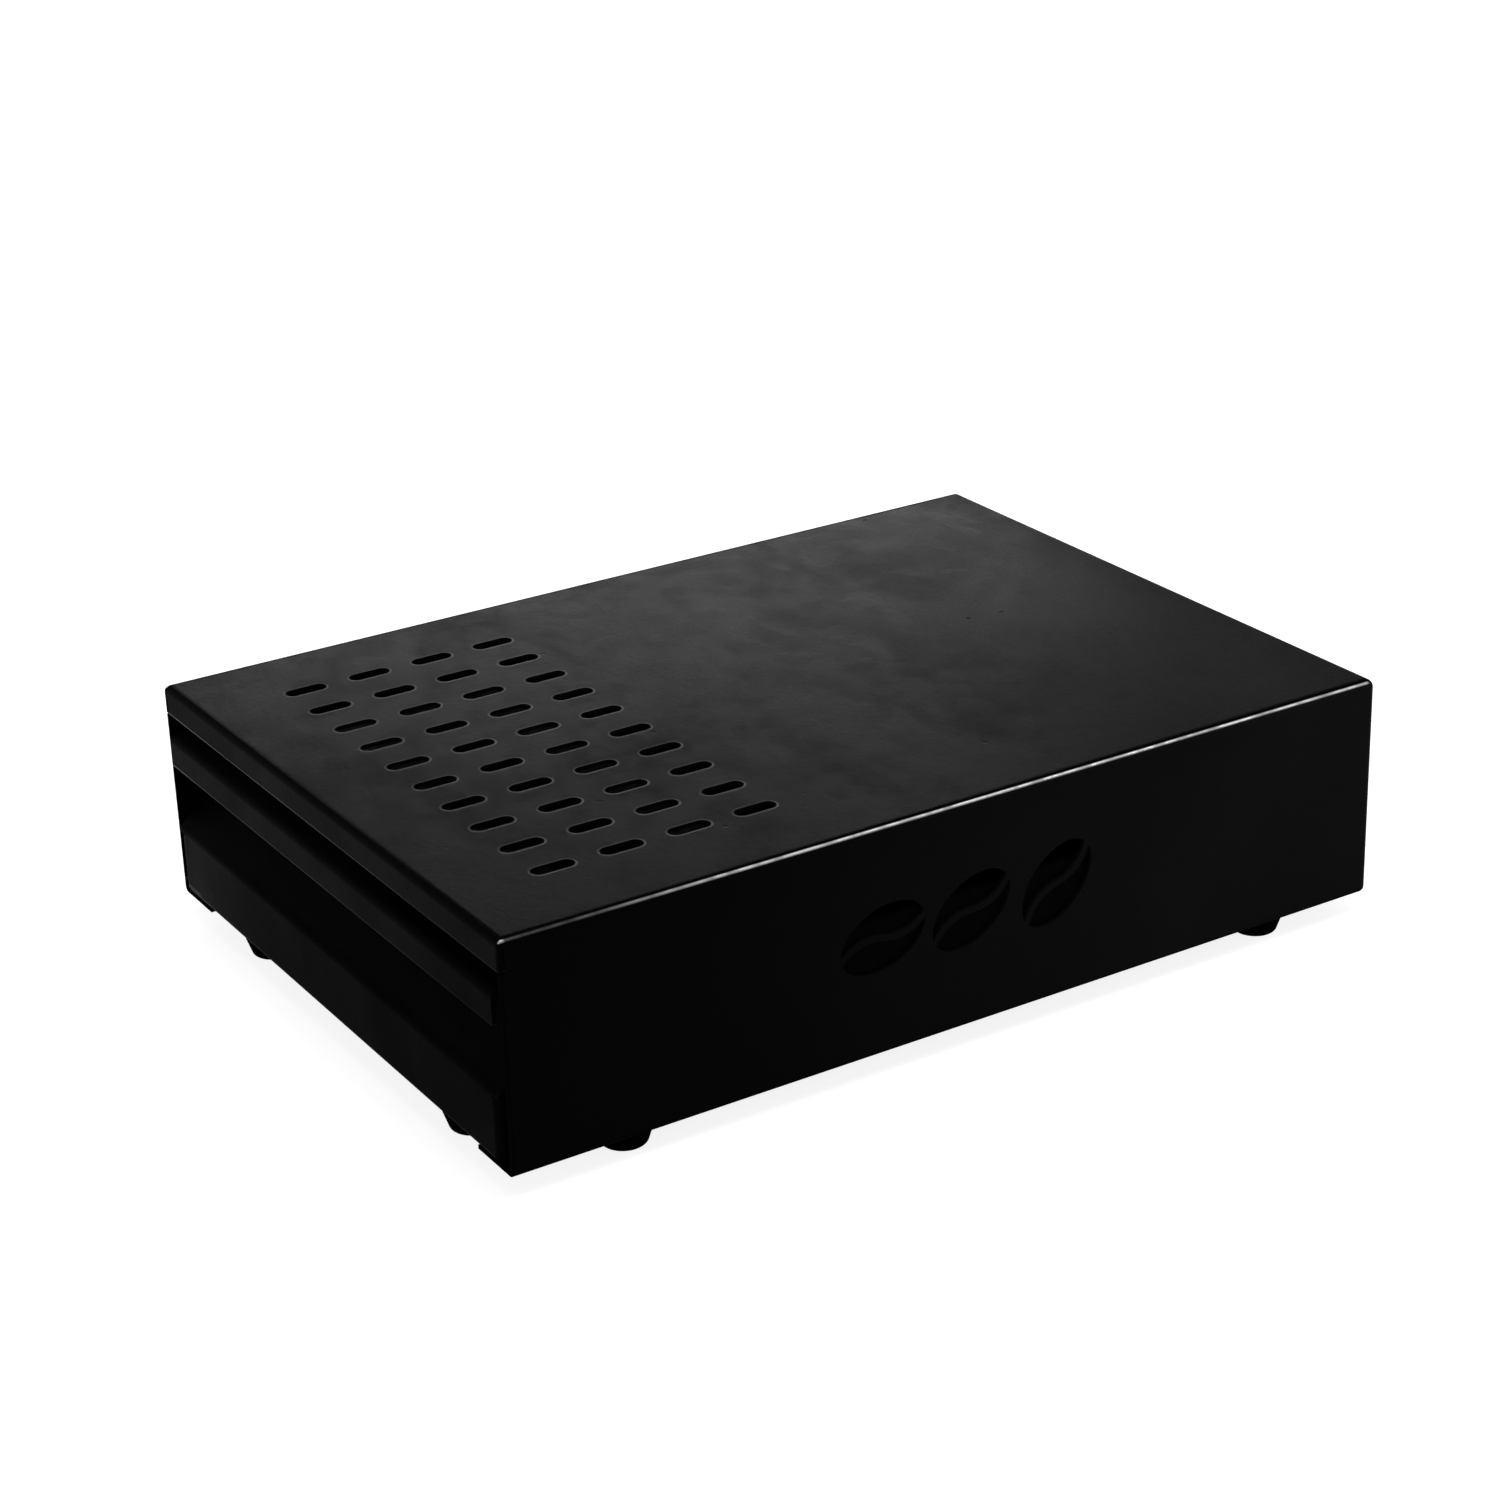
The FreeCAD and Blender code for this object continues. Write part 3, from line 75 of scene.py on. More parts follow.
# %% Stand the camera in place
VIEW_AZIMUTH = math.radians(58.530)
VIEW_ELEVATION = math.radians(23.431)
VIEW_ROLL = math.radians(1.893)
VIEW_PLACE = Vector((0.92805, -0.57443, 0.53579))
SENSOR_WIDTH_MM = 36
FOCAL_LENGTH_MM = 80.06

level = math.cos(VIEW_ELEVATION)
towards_camera = Vector((math.sin(VIEW_AZIMUTH) * level,
                         -math.cos(VIEW_AZIMUTH) * level,
                         math.sin(VIEW_ELEVATION)))
level_right = Vector((0, 0, 1)).cross(towards_camera).normalized()
level_up = towards_camera.cross(level_right)
camera_right = level_right * math.cos(VIEW_ROLL) - level_up * math.sin(VIEW_ROLL)
camera_up = level_right * math.sin(VIEW_ROLL) + level_up * math.cos(VIEW_ROLL)

lens = bpy.data.cameras.new("view")
lens.sensor_width = SENSOR_WIDTH_MM
lens.lens = FOCAL_LENGTH_MM
camera = bpy.data.objects.new("view", lens)
bpy.context.scene.collection.objects.link(camera)
camera.matrix_world = Matrix((camera_right, camera_up, towards_camera)).transposed().to_4x4()
camera.matrix_world.translation = VIEW_PLACE
bpy.context.scene.camera = camera
bpy.context.scene.view_settings.view_transform = "Standard"
print(f"camera {VIEW_PLACE.length:.2f} m from the middle of the base")

# %% [markdown]
# ## Small helpers for node networks
#
# Finishes, floor and sky are all small networks of nodes. The first class below adds nodes to any network
# and joins their sockets. Most looks are made of fades and bands. A fade is where a soft step starts and
# ends, and how strong it is there, which is 0 and then 1 if nothing is said. A band is its two limits and
# how soft its ends are. The second class is a network around one shader, with noise that is fixed to the
# object.

# %% Helpers for node networks
MIX_AMOUNT, MIX_FIRST, MIX_SECOND, MIX_RESULT = 0, 6, 7, 2  # sockets of a Mix node that mixes colours


class Network:
    """A node tree with short ways to add its nodes."""

    def __init__(self, tree):
        self.tree = tree

    def give(self, socket, given):
        """Join a socket to another node's output, or set it to a plain value."""
        if isinstance(given, bpy.types.NodeSocket):
            self.tree.links.new(given, socket)
        else:
            socket.default_value = given

    def add(self, kind, inputs=None, **settings):
        item = self.tree.nodes.new(kind)
        for name, setting in settings.items():
            setattr(item, name, setting)
        for name, given in (inputs or {}).items():
            self.give(item.inputs[name], given)
        return item

    def split(self, vector):
        """The X, Y and Z of a vector."""
        parts = self.add("ShaderNodeSeparateXYZ", {"Vector": vector}).outputs
        return parts["X"], parts["Y"], parts["Z"]

    def math(self, operation, first, second=0.0):
        return self.add("ShaderNodeMath", {0: first, 1: second}, operation=operation).outputs["Value"]

    def product(self, first, *others):
        for other in others:
            first = self.math("MULTIPLY", first, other)
        return first

    def total(self, first, *others):
        for other in others:
            first = self.math("ADD", first, other)
        return first

    def fade(self, value, start, end, low=0.0, high=1.0):
        """Turn a value into a soft step from low to high between two limits."""
        inputs = {"Value": value, "From Min": start, "From Max": end, "To Min": low, "To Max": high}
        return self.add("ShaderNodeMapRange", inputs, interpolation_type="SMOOTHSTEP").outputs["Result"]

    def between(self, value, start, end, soft):
        """1 between two limits, with soft ends."""
        rise = self.fade(value, start - soft, start)
        return self.product(rise, self.fade(value, end, end + soft, 1.0, 0.0))


class Finish(Network):
    """One material: a network around its shader."""

    def __init__(self, name, colour, metallic=0.0, roughness=0.5, specular=0.5):
        self.material = bpy.data.materials.new(name)
        self.material.use_nodes = True
        super().__init__(self.material.node_tree)
        self.shader = self.tree.nodes["Principled BSDF"].inputs
        self.shader["Base Color"].default_value = (*colour, 1)
        self.shader["Metallic"].default_value = metallic
        self.shader["Roughness"].default_value = roughness
        self.shader["Specular IOR Level"].default_value = specular
        coordinates = self.add("ShaderNodeTexCoord").outputs
        self.place = coordinates["Object"]
        self.facing = coordinates["Normal"]

    def stretch(self, scale):
        return self.add("ShaderNodeMapping", {"Vector": self.place, "Scale": scale}).outputs["Vector"]

    def noise(self, scale, detail=2.0, roughness=0.5, distortion=0.0, place=None):
        inputs = {"Vector": place or self.place, "Scale": scale, "Detail": detail,
                  "Roughness": roughness, "Distortion": distortion}
        return self.add("ShaderNodeTexNoise", inputs).outputs["Fac"]

    def blend(self, amount, first, second):
        """Mix two colours, each a plain one or another node's output."""
        item = self.add("ShaderNodeMix", {MIX_AMOUNT: amount}, data_type="RGBA")
        for socket, given in ((MIX_FIRST, first), (MIX_SECOND, second)):
            self.give(item.inputs[socket], (*given, 1) if isinstance(given, tuple) else given)
        return item.outputs[MIX_RESULT]

    def wear(self, **looks):
        """Join outputs to the shader's colour, gloss or metal."""
        sockets = {"colour": "Base Color", "gloss": "Roughness", "metal": "Metallic"}
        for look, given in looks.items():
            self.give(self.shader[sockets[look]], given)

    def bump(self, *layers):
        """Stack bumps, each a height from 0 to 1 with its depth."""
        normal = None
        for height, depth in layers:
            inputs = {"Height": height, "Distance": depth, "Strength": 1.0}
            if normal:
                inputs["Normal"] = normal
            normal = self.add("ShaderNodeBump", inputs).outputs["Normal"]
        self.give(self.shader["Normal"], normal)


finishes = {}
print("ready to build networks")

# %% [markdown]
# ## The black powder coat
#
# The coat is baked powder: very dark, with a fine pebbled skin and a soft gloss. It is darkest where it is
# clean. Painted light, in soft patches, makes it paler towards the rear end. The top has a greyish layer in
# soft patches that a cloth has wiped about, strongest on the left behind the slots; it is partly dust and
# partly a painted sheen. A few pits sit in the skin of the top. The painted rear light and the dust and sheen
# change the colour, wiping changes the gloss, and pebbles and pits are bumps.

# %% Write the skin of the coat
COAT_BLACK = (0.0014, 0.0014, 0.0015)
# Painted light: a paler colour towards the rear end.
REAR_PAINTED_LIGHT = (0.0115, 0.0115, 0.0118)
# Dust and painted sheen: a paler grey on the top.
TOP_DUST_AND_SHEEN = (0.075, 0.075, 0.076)
PIT_BLACK = (0.0005, 0.0005, 0.0005)
COAT_ROUGHNESS = 0.4
COAT_SPECULAR = 0.005
TOP_FACING = (0.93, 0.995)

REAR_LIGHT_ALONG = (-0.2, 0.2)
REAR_LIGHT_CLOUDS = (0.2, 0.8, 0.6, 1.0)
DUST_AND_SHEEN_ACROSS = (-0.15, 0.07, 1.0, 0.05)
DUST_AND_SHEEN_FRONT = (-0.08, 0.06, 0.35, 1.0)
DUST_AND_SHEEN_REAR = (0.14, 0.172, 1.0, 0.1)
DUST_AND_SHEEN_CLOUDS = (0.36, 0.68, 0.3, 1.0)
DUST_AND_SHEEN_WIPES = (0.32, 0.66, 0.35, 1.0)
DUST_AND_SHEEN_MOTTLE = (0.3, 0.7, 0.8, 1.15)
CLEAN_GRAIN = (0.35, 0.7, 0.0, 0.3)

GLOSS_WIPES = (0.3, 0.7, 0.31, 0.47)
GLOSS_GRAIN = 0.04
GLOSS_MOTTLE = (0.32, 0.68, -0.06, 0.06)

PITS_PER_METRE = 42.0
PIT_SIZE = (0.03, 0.055, 1.0, 0.0)
PEEL_DEPTH = 0.00005
GRAIN_DEPTH = 0.000025
PIT_DEPTH = 0.00008


class PowderCoat(Finish):
    """The skin of the coat, with the places and noises that its other layers use too."""

    def __init__(self, name):
        super().__init__(name, COAT_BLACK, roughness=COAT_ROUGHNESS, specular=COAT_SPECULAR)
        self.slot_name = name
        self.x, self.y, self.z = self.split(self.place)
        self.upward = self.split(self.facing)[2]
        self.on_top = self.fade(self.upward, *TOP_FACING)
        self.clouds = self.noise(9, detail=5, roughness=0.55, distortion=0.5)
        wiped = self.stretch((1.0, 1.7, 1.0))
        self.wipes = self.noise(11, detail=7, roughness=0.62, distortion=1.0, place=wiped)
        self.mottle = self.noise(85, detail=6, roughness=0.7)
        self.grain = self.noise(1500, detail=2)
        cells = self.add("ShaderNodeTexVoronoi", {"Vector": self.place, "Scale": PITS_PER_METRE})
        self.pit = self.product(self.fade(cells.outputs["Distance"], *PIT_SIZE), self.on_top)

    def skin_colour(self):
        # Painted light: the coat grows paler towards the rear end, in soft patches.
        rear_light = self.product(self.fade(self.y, *REAR_LIGHT_ALONG), self.fade(self.clouds, *REAR_LIGHT_CLOUDS))
        # Dust and painted sheen on the top, strongest on the left behind the slots.
        along = self.product(self.fade(self.y, *DUST_AND_SHEEN_FRONT), self.fade(self.y, *DUST_AND_SHEEN_REAR))
        dust_and_sheen_place = self.product(self.fade(self.x, *DUST_AND_SHEEN_ACROSS), along)
        dust_and_sheen_patches = self.product(self.fade(self.clouds, *DUST_AND_SHEEN_CLOUDS), self.fade(self.wipes, *DUST_AND_SHEEN_WIPES),
                              self.fade(self.mottle, *DUST_AND_SHEEN_MOTTLE))
        colour = self.blend(rear_light, COAT_BLACK, REAR_PAINTED_LIGHT)
        colour = self.blend(self.product(dust_and_sheen_patches, dust_and_sheen_place, self.on_top), colour, TOP_DUST_AND_SHEEN)
        colour = self.blend(self.fade(self.grain, *CLEAN_GRAIN), colour, COAT_BLACK)
        return self.blend(self.pit, colour, PIT_BLACK)

    def skin_gloss(self):
        gloss = self.total(self.fade(self.wipes, *GLOSS_WIPES), self.product(self.grain, GLOSS_GRAIN))
        return self.total(gloss, self.product(self.on_top, self.fade(self.mottle, *GLOSS_MOTTLE)))

    def finish(self, colour, gloss):
        self.wear(colour=colour, gloss=gloss)
        peel = self.noise(420, detail=1)
        unpitted = self.math("SUBTRACT", 1.0, self.pit)
        self.bump((peel, PEEL_DEPTH), (self.grain, GRAIN_DEPTH), (unpitted, PIT_DEPTH))
        finishes[self.slot_name] = self.material
        print(f"{self.slot_name}: a network of {len(self.tree.nodes)} nodes")


tray_coat = PowderCoat("tray_paint")
tray_coat.finish(tray_coat.skin_colour(), tray_coat.skin_gloss())

# %% [markdown]
# ## Painted highlights and shade on the case
#
# The case and the drawer's front have the same coat with painted highlights and shade on it. Along the two
# long bends of the top runs a narrow painted highlight, made as a line of smooth bare metal, with a painted
# shade on its inner side. It is faint near the front and strong again at the corner. Thin painted highlights
# run along the cut edges of the slots, of the front flange and of the drawer's lip, and along the left end of
# the bend below the drawer's face. All of these are places along X, Y or Z, so they stay where they are on
# the object.

# %% Paint the highlights and shade on the bends and cut edges
EDGE_HIGHLIGHT = (0.20, 0.20, 0.203)
HIGHLIGHT_LINE_STEEL = (0.55, 0.55, 0.56)
PAINTED_BEND_SHADE = (0.0003, 0.0003, 0.0003)
SLOT_RIM_HIGHLIGHT = (0.075, 0.075, 0.077)

CASE_TOP = 0.089
CASE_BASE = 0.007
FLANGE_EDGE = 0.078
LIP_EDGE = 0.0591
FACE_BEND = 0.0124

SLOT_PITCH_ACROSS = 0.020
SLOT_PITCH_ALONG = 0.025
SLOT_ROW = -0.13525
SLOT_HALF_WIDTH = 0.003
SLOT_STRAIGHT = 0.00475
SLOT_FIELD_ACROSS = (-0.0998, 0.0998, 0.0001)
SLOT_FIELD_ALONG = (-0.1476, -0.0479, 0.0001)
RIM_WIDTH = 0.0004
RIM_SOFT = 0.0006
RIM_SIDES = (-0.003, 0.003, 0.3, 1.0)
RIM_FACING = (0.7, 0.9)
RIM_BREAKUP = (0.3, 0.6, 0.6, 1.0)

BEND_HEIGHT = (CASE_TOP - 0.0014, CASE_TOP - 0.001)
LINE_INNER_SIDE = (0.1244, 0.1249)
LINE_OUTER_SIDE = (0.1251, 0.1255, 1.0, 0.0)
LINE_ALONG = (-0.155, -0.075, 0.12, 1.0)
LINE_CORNER = (-0.1728, -0.1708, 1.0, 0.0)
LINE_REAR = (0.1695, 0.1715, 1.0, 0.0)
LINE_BREAKUP = (0.35, 0.6, 0.6, 1.0)
SHADE_ACROSS = (0.1224, 0.1243, 0.0005)

FRONT_FACE = (-0.1735, -0.1728, 1.0, 0.0)
INSIDE_WALLS = (0.1240, 0.1246, 1.0, 0.0)
CUT_HALF_WIDTH = 0.0003
CUT_SOFT = 0.0002
CUT_FADE_LEFT = (-0.125, -0.06, 1.0, 0.5)
CUT_FADE_RIGHT = (-0.06, 0.12, 1.0, 0.2)
LIP_FADE = (-0.112, -0.095, 1.0, 0.5)
FACE_BEND_HALF_WIDTH = 0.0004
FACE_BEND_SOFT = 0.0003
FACE_BEND_FADE = (-0.110, -0.106, 0.3, 0.0)


def slot_rim_highlights(coat):
    """A painted highlight: a thin pale line around every slot, strongest along its right side."""
    def to_nearest(place, pitch):
        wrapped = {0: place, 1: pitch / 2, 2: -pitch / 2}
        return coat.add("ShaderNodeMath", wrapped, operation="WRAP").outputs["Value"]

    beside = to_nearest(coat.total(coat.x, SLOT_PITCH_ACROSS / 2), SLOT_PITCH_ACROSS)
    along = coat.math("ABSOLUTE", to_nearest(coat.total(coat.y, -SLOT_ROW), SLOT_PITCH_ALONG))
    beyond = coat.math("MAXIMUM", coat.math("SUBTRACT", along, SLOT_STRAIGHT))
    squares = coat.total(coat.product(beside, beside), coat.product(beyond, beyond))
    distance = coat.math("POWER", squares, 0.5)
    rim = coat.between(distance, SLOT_HALF_WIDTH, SLOT_HALF_WIDTH + RIM_WIDTH, RIM_SOFT)
    field = coat.product(coat.between(coat.x, *SLOT_FIELD_ACROSS), coat.between(coat.y, *SLOT_FIELD_ALONG))
    rims = coat.product(rim, coat.fade(beside, *RIM_SIDES), field)
    return coat.product(rims, coat.fade(coat.upward, *RIM_FACING), coat.fade(coat.mottle, *RIM_BREAKUP))


def painted_highlight_line(coat, side, on_bend):
    """A painted highlight: a line of pale bare metal along the two long bends."""
    line = coat.product(coat.fade(side, *LINE_INNER_SIDE), coat.fade(side, *LINE_OUTER_SIDE), on_bend)
    strength = coat.math("MAXIMUM", coat.fade(coat.y, *LINE_ALONG), coat.fade(coat.y, *LINE_CORNER))
    breakup = coat.fade(coat.noise(170, detail=5), *LINE_BREAKUP)
    return coat.product(line, strength, coat.fade(coat.y, *LINE_REAR), breakup)


def cut_edge_highlights(coat, front, inside):
    """Painted highlights: the lines along the flange, the drawer's lip and the bend at the foot of its face.
    """
    def level_line(height, half_width, soft):
        return coat.between(coat.z, height - half_width, height + half_width, soft)

    flange = level_line(FLANGE_EDGE, CUT_HALF_WIDTH, CUT_SOFT)
    lip = coat.product(level_line(LIP_EDGE, CUT_HALF_WIDTH, CUT_SOFT), coat.fade(coat.x, *LIP_FADE))
    upper = coat.product(coat.math("MAXIMUM", flange, lip), front, inside,
                         coat.fade(coat.x, *CUT_FADE_LEFT), coat.fade(coat.x, *CUT_FADE_RIGHT))
    lower = coat.product(level_line(FACE_BEND, FACE_BEND_HALF_WIDTH, FACE_BEND_SOFT),
                         coat.fade(coat.x, *FACE_BEND_FADE), front)
    return coat.math("MAXIMUM", upper, lower)


print("marks for slots, bends and cut edges are ready")

# %% [markdown]
# ## The gloss of the front, and the case's coat
#
# The front mirrors the white room. It is a little glossier in its middle than at its ends, and the drawer's
# front gets duller towards the right, most of all on its lower face. The cut ends of the walls are rough,
# and so is the lowest edge. With this gloss and the painted highlights and shade above, the case's coat is
# complete.

# %% Make the coat of the case
LINE_GLOSS = -0.08
CUT_GLOSS = 0.5
DULL_TO_SIDES = (0.03, 0.12, -0.06, 0.085)
BELOW_TOP_BEND = (0.073, 0.076, 1.0, 0.0)
DULL_LIP = (-0.12, -0.03, -0.03, 0.075)
LOWER_FACE = (0.037, 0.041, 1.0, 0.0)
DULL_LOW_LEFT = (-0.13, 0.01, 0.0, 0.165)
DULL_LOW_RIGHT = (0.07, 0.12, 0.0, 0.05)
DULL_UNDERSIDE = (CASE_BASE + 0.0015, CASE_BASE + 0.0025, 0.45, 0.0)


def front_dulling(coat, side, front, inside):
    """How much duller the front is than the other faces, from place to place."""
    lip = coat.product(coat.fade(coat.z, *BELOW_TOP_BEND), coat.fade(coat.x, *DULL_LIP))
    dull = coat.total(coat.fade(side, *DULL_TO_SIDES), lip)
    low = coat.total(coat.fade(coat.x, *DULL_LOW_LEFT), coat.fade(coat.x, *DULL_LOW_RIGHT))
    change = coat.product(coat.math("SUBTRACT", low, dull), coat.fade(coat.z, *LOWER_FACE))
    return coat.product(coat.total(dull, change), front, inside)


case_coat = PowderCoat("case_paint")
side = case_coat.math("ABSOLUTE", case_coat.x)
on_bend = case_coat.fade(case_coat.z, *BEND_HEIGHT)
front = case_coat.fade(case_coat.y, *FRONT_FACE)
inside = case_coat.fade(side, *INSIDE_WALLS)
wall_ends = case_coat.product(front, case_coat.math("SUBTRACT", 1.0, inside))
# Painted highlight: a pale line of bare metal along each long bend of the top.
highlight_line_mask = painted_highlight_line(case_coat, side, on_bend)

# Painted highlight: a pale rim around each slot on the top, strongest on its right side.
colour = case_coat.blend(slot_rim_highlights(case_coat), case_coat.skin_colour(), SLOT_RIM_HIGHLIGHT)
# Painted shade: a dark band on the inner side of the highlight line on each long bend.
shade = case_coat.product(case_coat.between(side, *SHADE_ACROSS), on_bend)
colour = case_coat.blend(shade, colour, PAINTED_BEND_SHADE)
# Painted highlights: thin pale lines along the flange's and lip's lower edges and the face's foot bend.
colour = case_coat.blend(cut_edge_highlights(case_coat, front, inside), colour, EDGE_HIGHLIGHT)
# Painted highlight: the pale bare-metal line on the long bends.
colour = case_coat.blend(highlight_line_mask, colour, HIGHLIGHT_LINE_STEEL)
gloss = case_coat.total(case_coat.skin_gloss(),
                        case_coat.product(highlight_line_mask, LINE_GLOSS),
                        case_coat.product(wall_ends, CUT_GLOSS),
                        front_dulling(case_coat, side, front, inside),
                        case_coat.fade(case_coat.z, *DULL_UNDERSIDE))
case_coat.wear(metal=highlight_line_mask)
case_coat.finish(colour, gloss)

# %% [markdown]
# ## Plated and bare steel
#
# The hidden fasteners are zinc plated, the ones that show are black. The pan and its bar are stainless
# steel, brushed one way, and spent coffee leaves a brown film low in the pan.

# %% Make the metal finishes
COFFEE_BROWN = (0.10, 0.055, 0.03)
COFFEE_HEIGHTS = (0.013, 0.051)
COFFEE_STAINS = (0.42, 0.72)
COFFEE_GLOSS = 0.3
BLACK_PLATE_SPECULAR = 0.006
PALE_PLATE = 2.2
DARK_LINES = 0.8
METAL_DEPTH = 0.00001
BRUSH_DEPTH = 0.000012


def plated(name, colour, other, roughness):
    metal = Finish(name, colour, metallic=1.0, roughness=roughness)
    patches = metal.noise(160, detail=4, roughness=0.6)
    scratches = metal.noise(900, detail=3, place=metal.stretch((1.0, 0.15, 1.0)))
    metal.wear(colour=metal.blend(metal.fade(patches, 0.35, 0.65), colour, other),
               gloss=metal.fade(patches, 0.3, 0.7, roughness - 0.06, roughness + 0.1))
    metal.bump((scratches, METAL_DEPTH))
    finishes[name] = metal.material


def black_plated(name, colour, roughness):
    metal = Finish(name, colour, roughness=roughness, specular=BLACK_PLATE_SPECULAR)
    patches = metal.noise(220, detail=4)
    pale = tuple(PALE_PLATE * channel for channel in colour)
    metal.wear(colour=metal.blend(metal.fade(patches, 0.35, 0.7), colour, pale),
               gloss=metal.fade(patches, 0.3, 0.7, roughness - 0.05, roughness + 0.1))
    metal.bump((metal.noise(1400, detail=2), METAL_DEPTH))
    finishes[name] = metal.material


def brushed(name, colour, roughness, stretch, film):
    steel = Finish(name, colour, metallic=1.0, roughness=roughness)
    lines = steel.noise(60, detail=6, roughness=0.7, place=steel.stretch(stretch))
    stains = steel.noise(34, detail=7, roughness=0.68, distortion=0.15)
    low = steel.fade(steel.split(steel.place)[2], *COFFEE_HEIGHTS, film, 0.0)
    stained = steel.product(steel.fade(stains, *COFFEE_STAINS), low)
    dark = tuple(DARK_LINES * channel for channel in colour)
    tone = steel.blend(steel.fade(lines, 0.3, 0.7), colour, dark)
    shine = steel.fade(lines, 0.3, 0.7, roughness - 0.05, roughness + 0.08)
    steel.wear(colour=steel.blend(stained, tone, COFFEE_BROWN),
               gloss=steel.total(shine, steel.product(stained, COFFEE_GLOSS)))
    steel.bump((lines, BRUSH_DEPTH))
    finishes[name] = steel.material


plated("zinc_steel", (0.58, 0.60, 0.62), (0.52, 0.53, 0.52), roughness=0.32)
plated("cage_steel", (0.46, 0.46, 0.47), (0.38, 0.38, 0.38), roughness=0.36)
plated("ball_steel", (0.72, 0.72, 0.74), (0.66, 0.66, 0.68), roughness=0.12)
black_plated("black_screws", (0.012, 0.012, 0.013), roughness=0.38)
black_plated("slide_black", (0.0008, 0.0008, 0.0009), roughness=0.6)
brushed("bin_steel", (0.43, 0.43, 0.42), roughness=0.42, stretch=(1.0, 40.0, 40.0), film=0.75)
brushed("bar_steel", (0.64, 0.64, 0.63), roughness=0.26, stretch=(60.0, 1.0, 1.0), film=0.0)
print(f"{len(finishes)} finishes so far")

# %% [markdown]
# ## Rubber and nylon
#
# The feet and the bar's sleeve are moulded rubber, dull and slightly dusty. The blocks at the ends of the
# slides are black nylon.

# %% Make the rubber and nylon
def moulded(name, colour, dusty, roughness, grain_scale, depth, specular=0.02):
    rubber = Finish(name, colour, roughness=roughness, specular=specular)
    dust = rubber.noise(60, detail=6, roughness=0.65)
    rubber.wear(colour=rubber.blend(rubber.fade(dust, 0.45, 0.75), colour, dusty),
                gloss=rubber.fade(dust, 0.35, 0.75, roughness, roughness + 0.12))
    rubber.bump((rubber.noise(grain_scale, detail=2), depth))
    finishes[name] = rubber.material


moulded("foot_rubber", (0.0005, 0.0005, 0.0005), (0.0012, 0.0012, 0.0012),
        roughness=0.8, grain_scale=1600, depth=0.00004, specular=0.002)
moulded("sleeve_rubber", (0.012, 0.012, 0.0125), (0.045, 0.033, 0.024),
        roughness=0.60, grain_scale=1100, depth=0.00006)
moulded("buffer_plastic", (0.010, 0.010, 0.010), (0.018, 0.018, 0.018),
        roughness=0.48, grain_scale=1800, depth=0.00002)

for name, thing in nodes.items():
    thing.data.materials.clear()
    thing.data.materials.append(finishes[node_slots[name]])
print(f"{len(finishes)} finishes on {len(nodes)} pieces")

# %% [markdown]
# ## Soft edges on the folded sheets
#
# Powder flows a little as it bakes, so the cut edges of a coated sheet are never sharp. They catch the
# light as thin bright lines. The engineering solids have sharp cut edges, so each folded sheet is copied,
# its triangles are joined into whole faces, and its edges get a very small bevel.

# %% Copy the sheets and round their cut edges
SAME_POINT = 1e-6
SAME_PLANE = math.radians(0.5)
SHARP_EDGE = math.radians(40)
SMOOTH_EDGE = math.radians(35)
BEVEL_SEGMENTS = 2
LARGE_FACES_WIN = 100

SHEETS = {
    "case_shell": ("case_shell_coated", 0.0003),
    "drawer_front": ("drawer_front_coated", 0.00055),
    "rear_panel": ("rear_panel_coated", 0.0003),
    "front_rail": ("front_rail_coated", 0.0003),
    "drawer_tray": ("drawer_tray_coated", 0.00025),
    "grounds_bin": ("grounds_bin_deburred", 0.00015),
}


def join_triangles(piece):
    """Turn a mesh of triangles into whole flat faces, ready for a bevel."""
    bpy.ops.object.select_all(action="DESELECT")
    piece.select_set(True)
    bpy.context.view_layer.objects.active = piece
    bpy.ops.mesh.customdata_custom_splitnormals_clear()
    bpy.ops.object.mode_set(mode="EDIT")
    bpy.ops.mesh.select_all(action="SELECT")
    bpy.ops.mesh.remove_doubles(threshold=SAME_POINT)
    bpy.ops.mesh.dissolve_limited(angle_limit=SAME_PLANE)
    bpy.ops.object.mode_set(mode="OBJECT")


def soft_edged(node_name, piece_name, radius):
    piece = bpy.data.objects.new(piece_name, nodes[node_name].data.copy())
    bpy.context.scene.collection.objects.link(piece)
    join_triangles(piece)
    bevel = piece.modifiers.new("soft edges", "BEVEL")
    bevel.width = radius
    bevel.segments = BEVEL_SEGMENTS
    bevel.limit_method = "ANGLE"
    bevel.angle_limit = SHARP_EDGE
    bpy.ops.object.modifier_apply(modifier=bevel.name)
    bpy.ops.object.shade_smooth_by_angle(angle=SMOOTH_EDGE)
    flatten = piece.modifiers.new("flat faces", "WEIGHTED_NORMAL")
    flatten.keep_sharp = True
    flatten.weight = LARGE_FACES_WIN
    bpy.ops.object.modifier_apply(modifier=flatten.name)
    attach(piece, node_bodies[node_name])
    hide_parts(node_name)
    print(f"{piece_name}: {len(piece.data.polygons)} faces, edges rounded to {radius * 1000:.2f} mm")


for node_name, (piece_name, radius) in SHEETS.items():
    soft_edged(node_name, piece_name, radius)

# %% [markdown]
# ## The floor
#
# The object stands on a plain white floor. The floor is a mid grey that catches the shadow, with a glow that
# only the camera, gloss and clear things see, so that it reads as white and the shadow stays soft. The glow
# goes out well under the case, where no light reaches, so that no white floor shows through the slots when
# the drawer is open.

# %% Lay the floor
FLOOR_SIZE = 30
FLOOR_COLOUR = 0.45
FLOOR_GLOW = 0.85
GLOW_ACROSS = (0.099, 0.107)
GLOW_ALONG = (0.145, 0.153)

bpy.ops.mesh.primitive_plane_add(size=FLOOR_SIZE, location=(0, 0, 0))
floor = bpy.context.object
floor.name = "floor"
floor_finish = bpy.data.materials.new("floor")
floor_finish.use_nodes = True
floor_finish.node_tree.nodes.clear()
floor.data.materials.append(floor_finish)

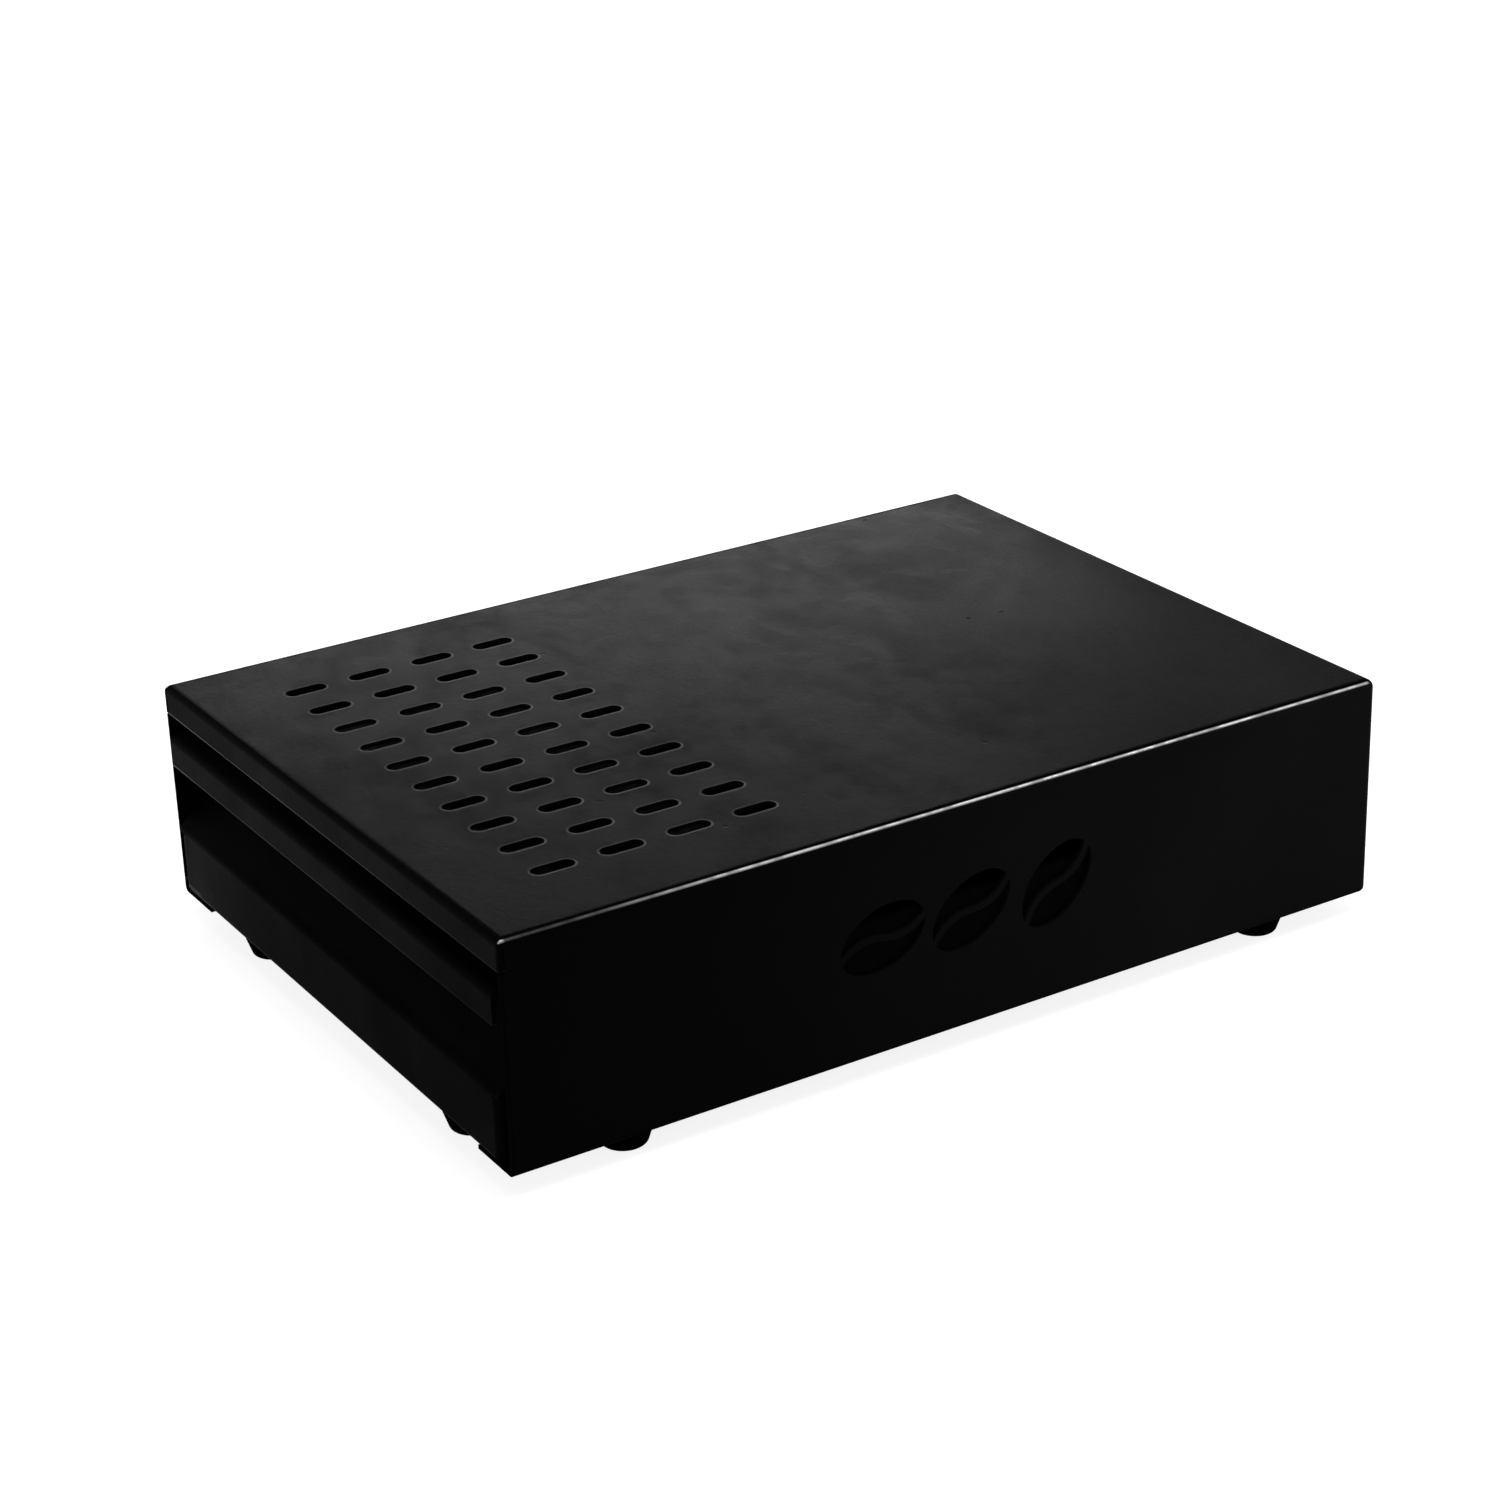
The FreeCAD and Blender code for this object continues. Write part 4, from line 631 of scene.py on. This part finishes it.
ground = Network(floor_finish.node_tree)
rays = ground.add("ShaderNodeLightPath").outputs
seen = ground.math("MAXIMUM", rays["Is Camera Ray"], rays["Is Glossy Ray"])
seen = ground.math("MAXIMUM", seen, rays["Is Transmission Ray"])
floor_x, floor_y, _ = ground.split(ground.add("ShaderNodeTexCoord").outputs["Object"])
outside = ground.math("MAXIMUM",
                      ground.fade(ground.math("ABSOLUTE", floor_x), *GLOW_ACROSS),
                      ground.fade(ground.math("ABSOLUTE", floor_y), *GLOW_ALONG))
grey = ground.add("ShaderNodeBsdfDiffuse", {"Color": (FLOOR_COLOUR, FLOOR_COLOUR, FLOOR_COLOUR, 1)})
glow = ground.add("ShaderNodeEmission", {"Strength": ground.product(seen, FLOOR_GLOW, outside)})
both = ground.add("ShaderNodeAddShader", {0: grey.outputs[0], 1: glow.outputs[0]})
ground.add("ShaderNodeOutputMaterial", {"Surface": both.outputs[0]})
print(f"floor {FLOOR_SIZE} m wide")

# %% [markdown]
# ## The studio
#
# The world is white near the horizon, which is all that the camera sees of it, and dim overhead, because a
# black box looks black only in a room with a dark ceiling.

# %% Set the world
HORIZON = 1.0
CEILING = 0.15
WALL_TO_CEILING = (0.24, 0.56)

world = bpy.data.worlds.new("studio")
bpy.context.scene.world = world
world.use_nodes = True
sky = Network(world.node_tree)
sky_height = sky.split(sky.add("ShaderNodeTexCoord").outputs["Generated"])[2]
sky_light = sky.tree.nodes["Background"].inputs
sky_light["Color"].default_value = (1, 1, 1, 1)
sky.give(sky_light["Strength"], sky.fade(sky_height, *WALL_TO_CEILING, HORIZON, CEILING))
print(f"world {HORIZON} at the horizon and {CEILING} overhead")

# %% [markdown]
# ## The lamps
#
# Three soft lamps shape the box. A wide low one behind on the left is mirrored in the top as a soft cloud of
# light. A long narrow one behind on the right is mirrored in the painted highlight line of bare metal along
# the near top bend. A large one overhead lights the floor, and the dust and painted sheen on the top.

# %% Hang the lamps
def soft_lamp(name, place, aim, size, power):
    light = bpy.data.lights.new(name, "AREA")
    light.shape = "RECTANGLE"
    light.size, light.size_y = size
    light.energy = power
    lamp = bpy.data.objects.new(name, light)
    bpy.context.scene.collection.objects.link(lamp)
    lamp.location = place
    lamp.rotation_euler = (Vector(aim) - Vector(place)).to_track_quat("-Z", "Y").to_euler()
    print(f"{name}: {power} W from {size[0]} by {size[1]} m")


soft_lamp("cloud_left", place=(-1.556, 0.793, 0.52), aim=(-0.02, 0.03, CASE_TOP), size=(0.8, 0.35), power=8.6)
soft_lamp("strip_high", place=(0.437, 0.775, 1.32), aim=(0.126, 0, CASE_TOP), size=(0.25, 1.0), power=3)
soft_lamp("overhead", place=(-0.2, 0.2, 1.7), aim=(0, 0, 0), size=(1.2, 1.2), power=18)
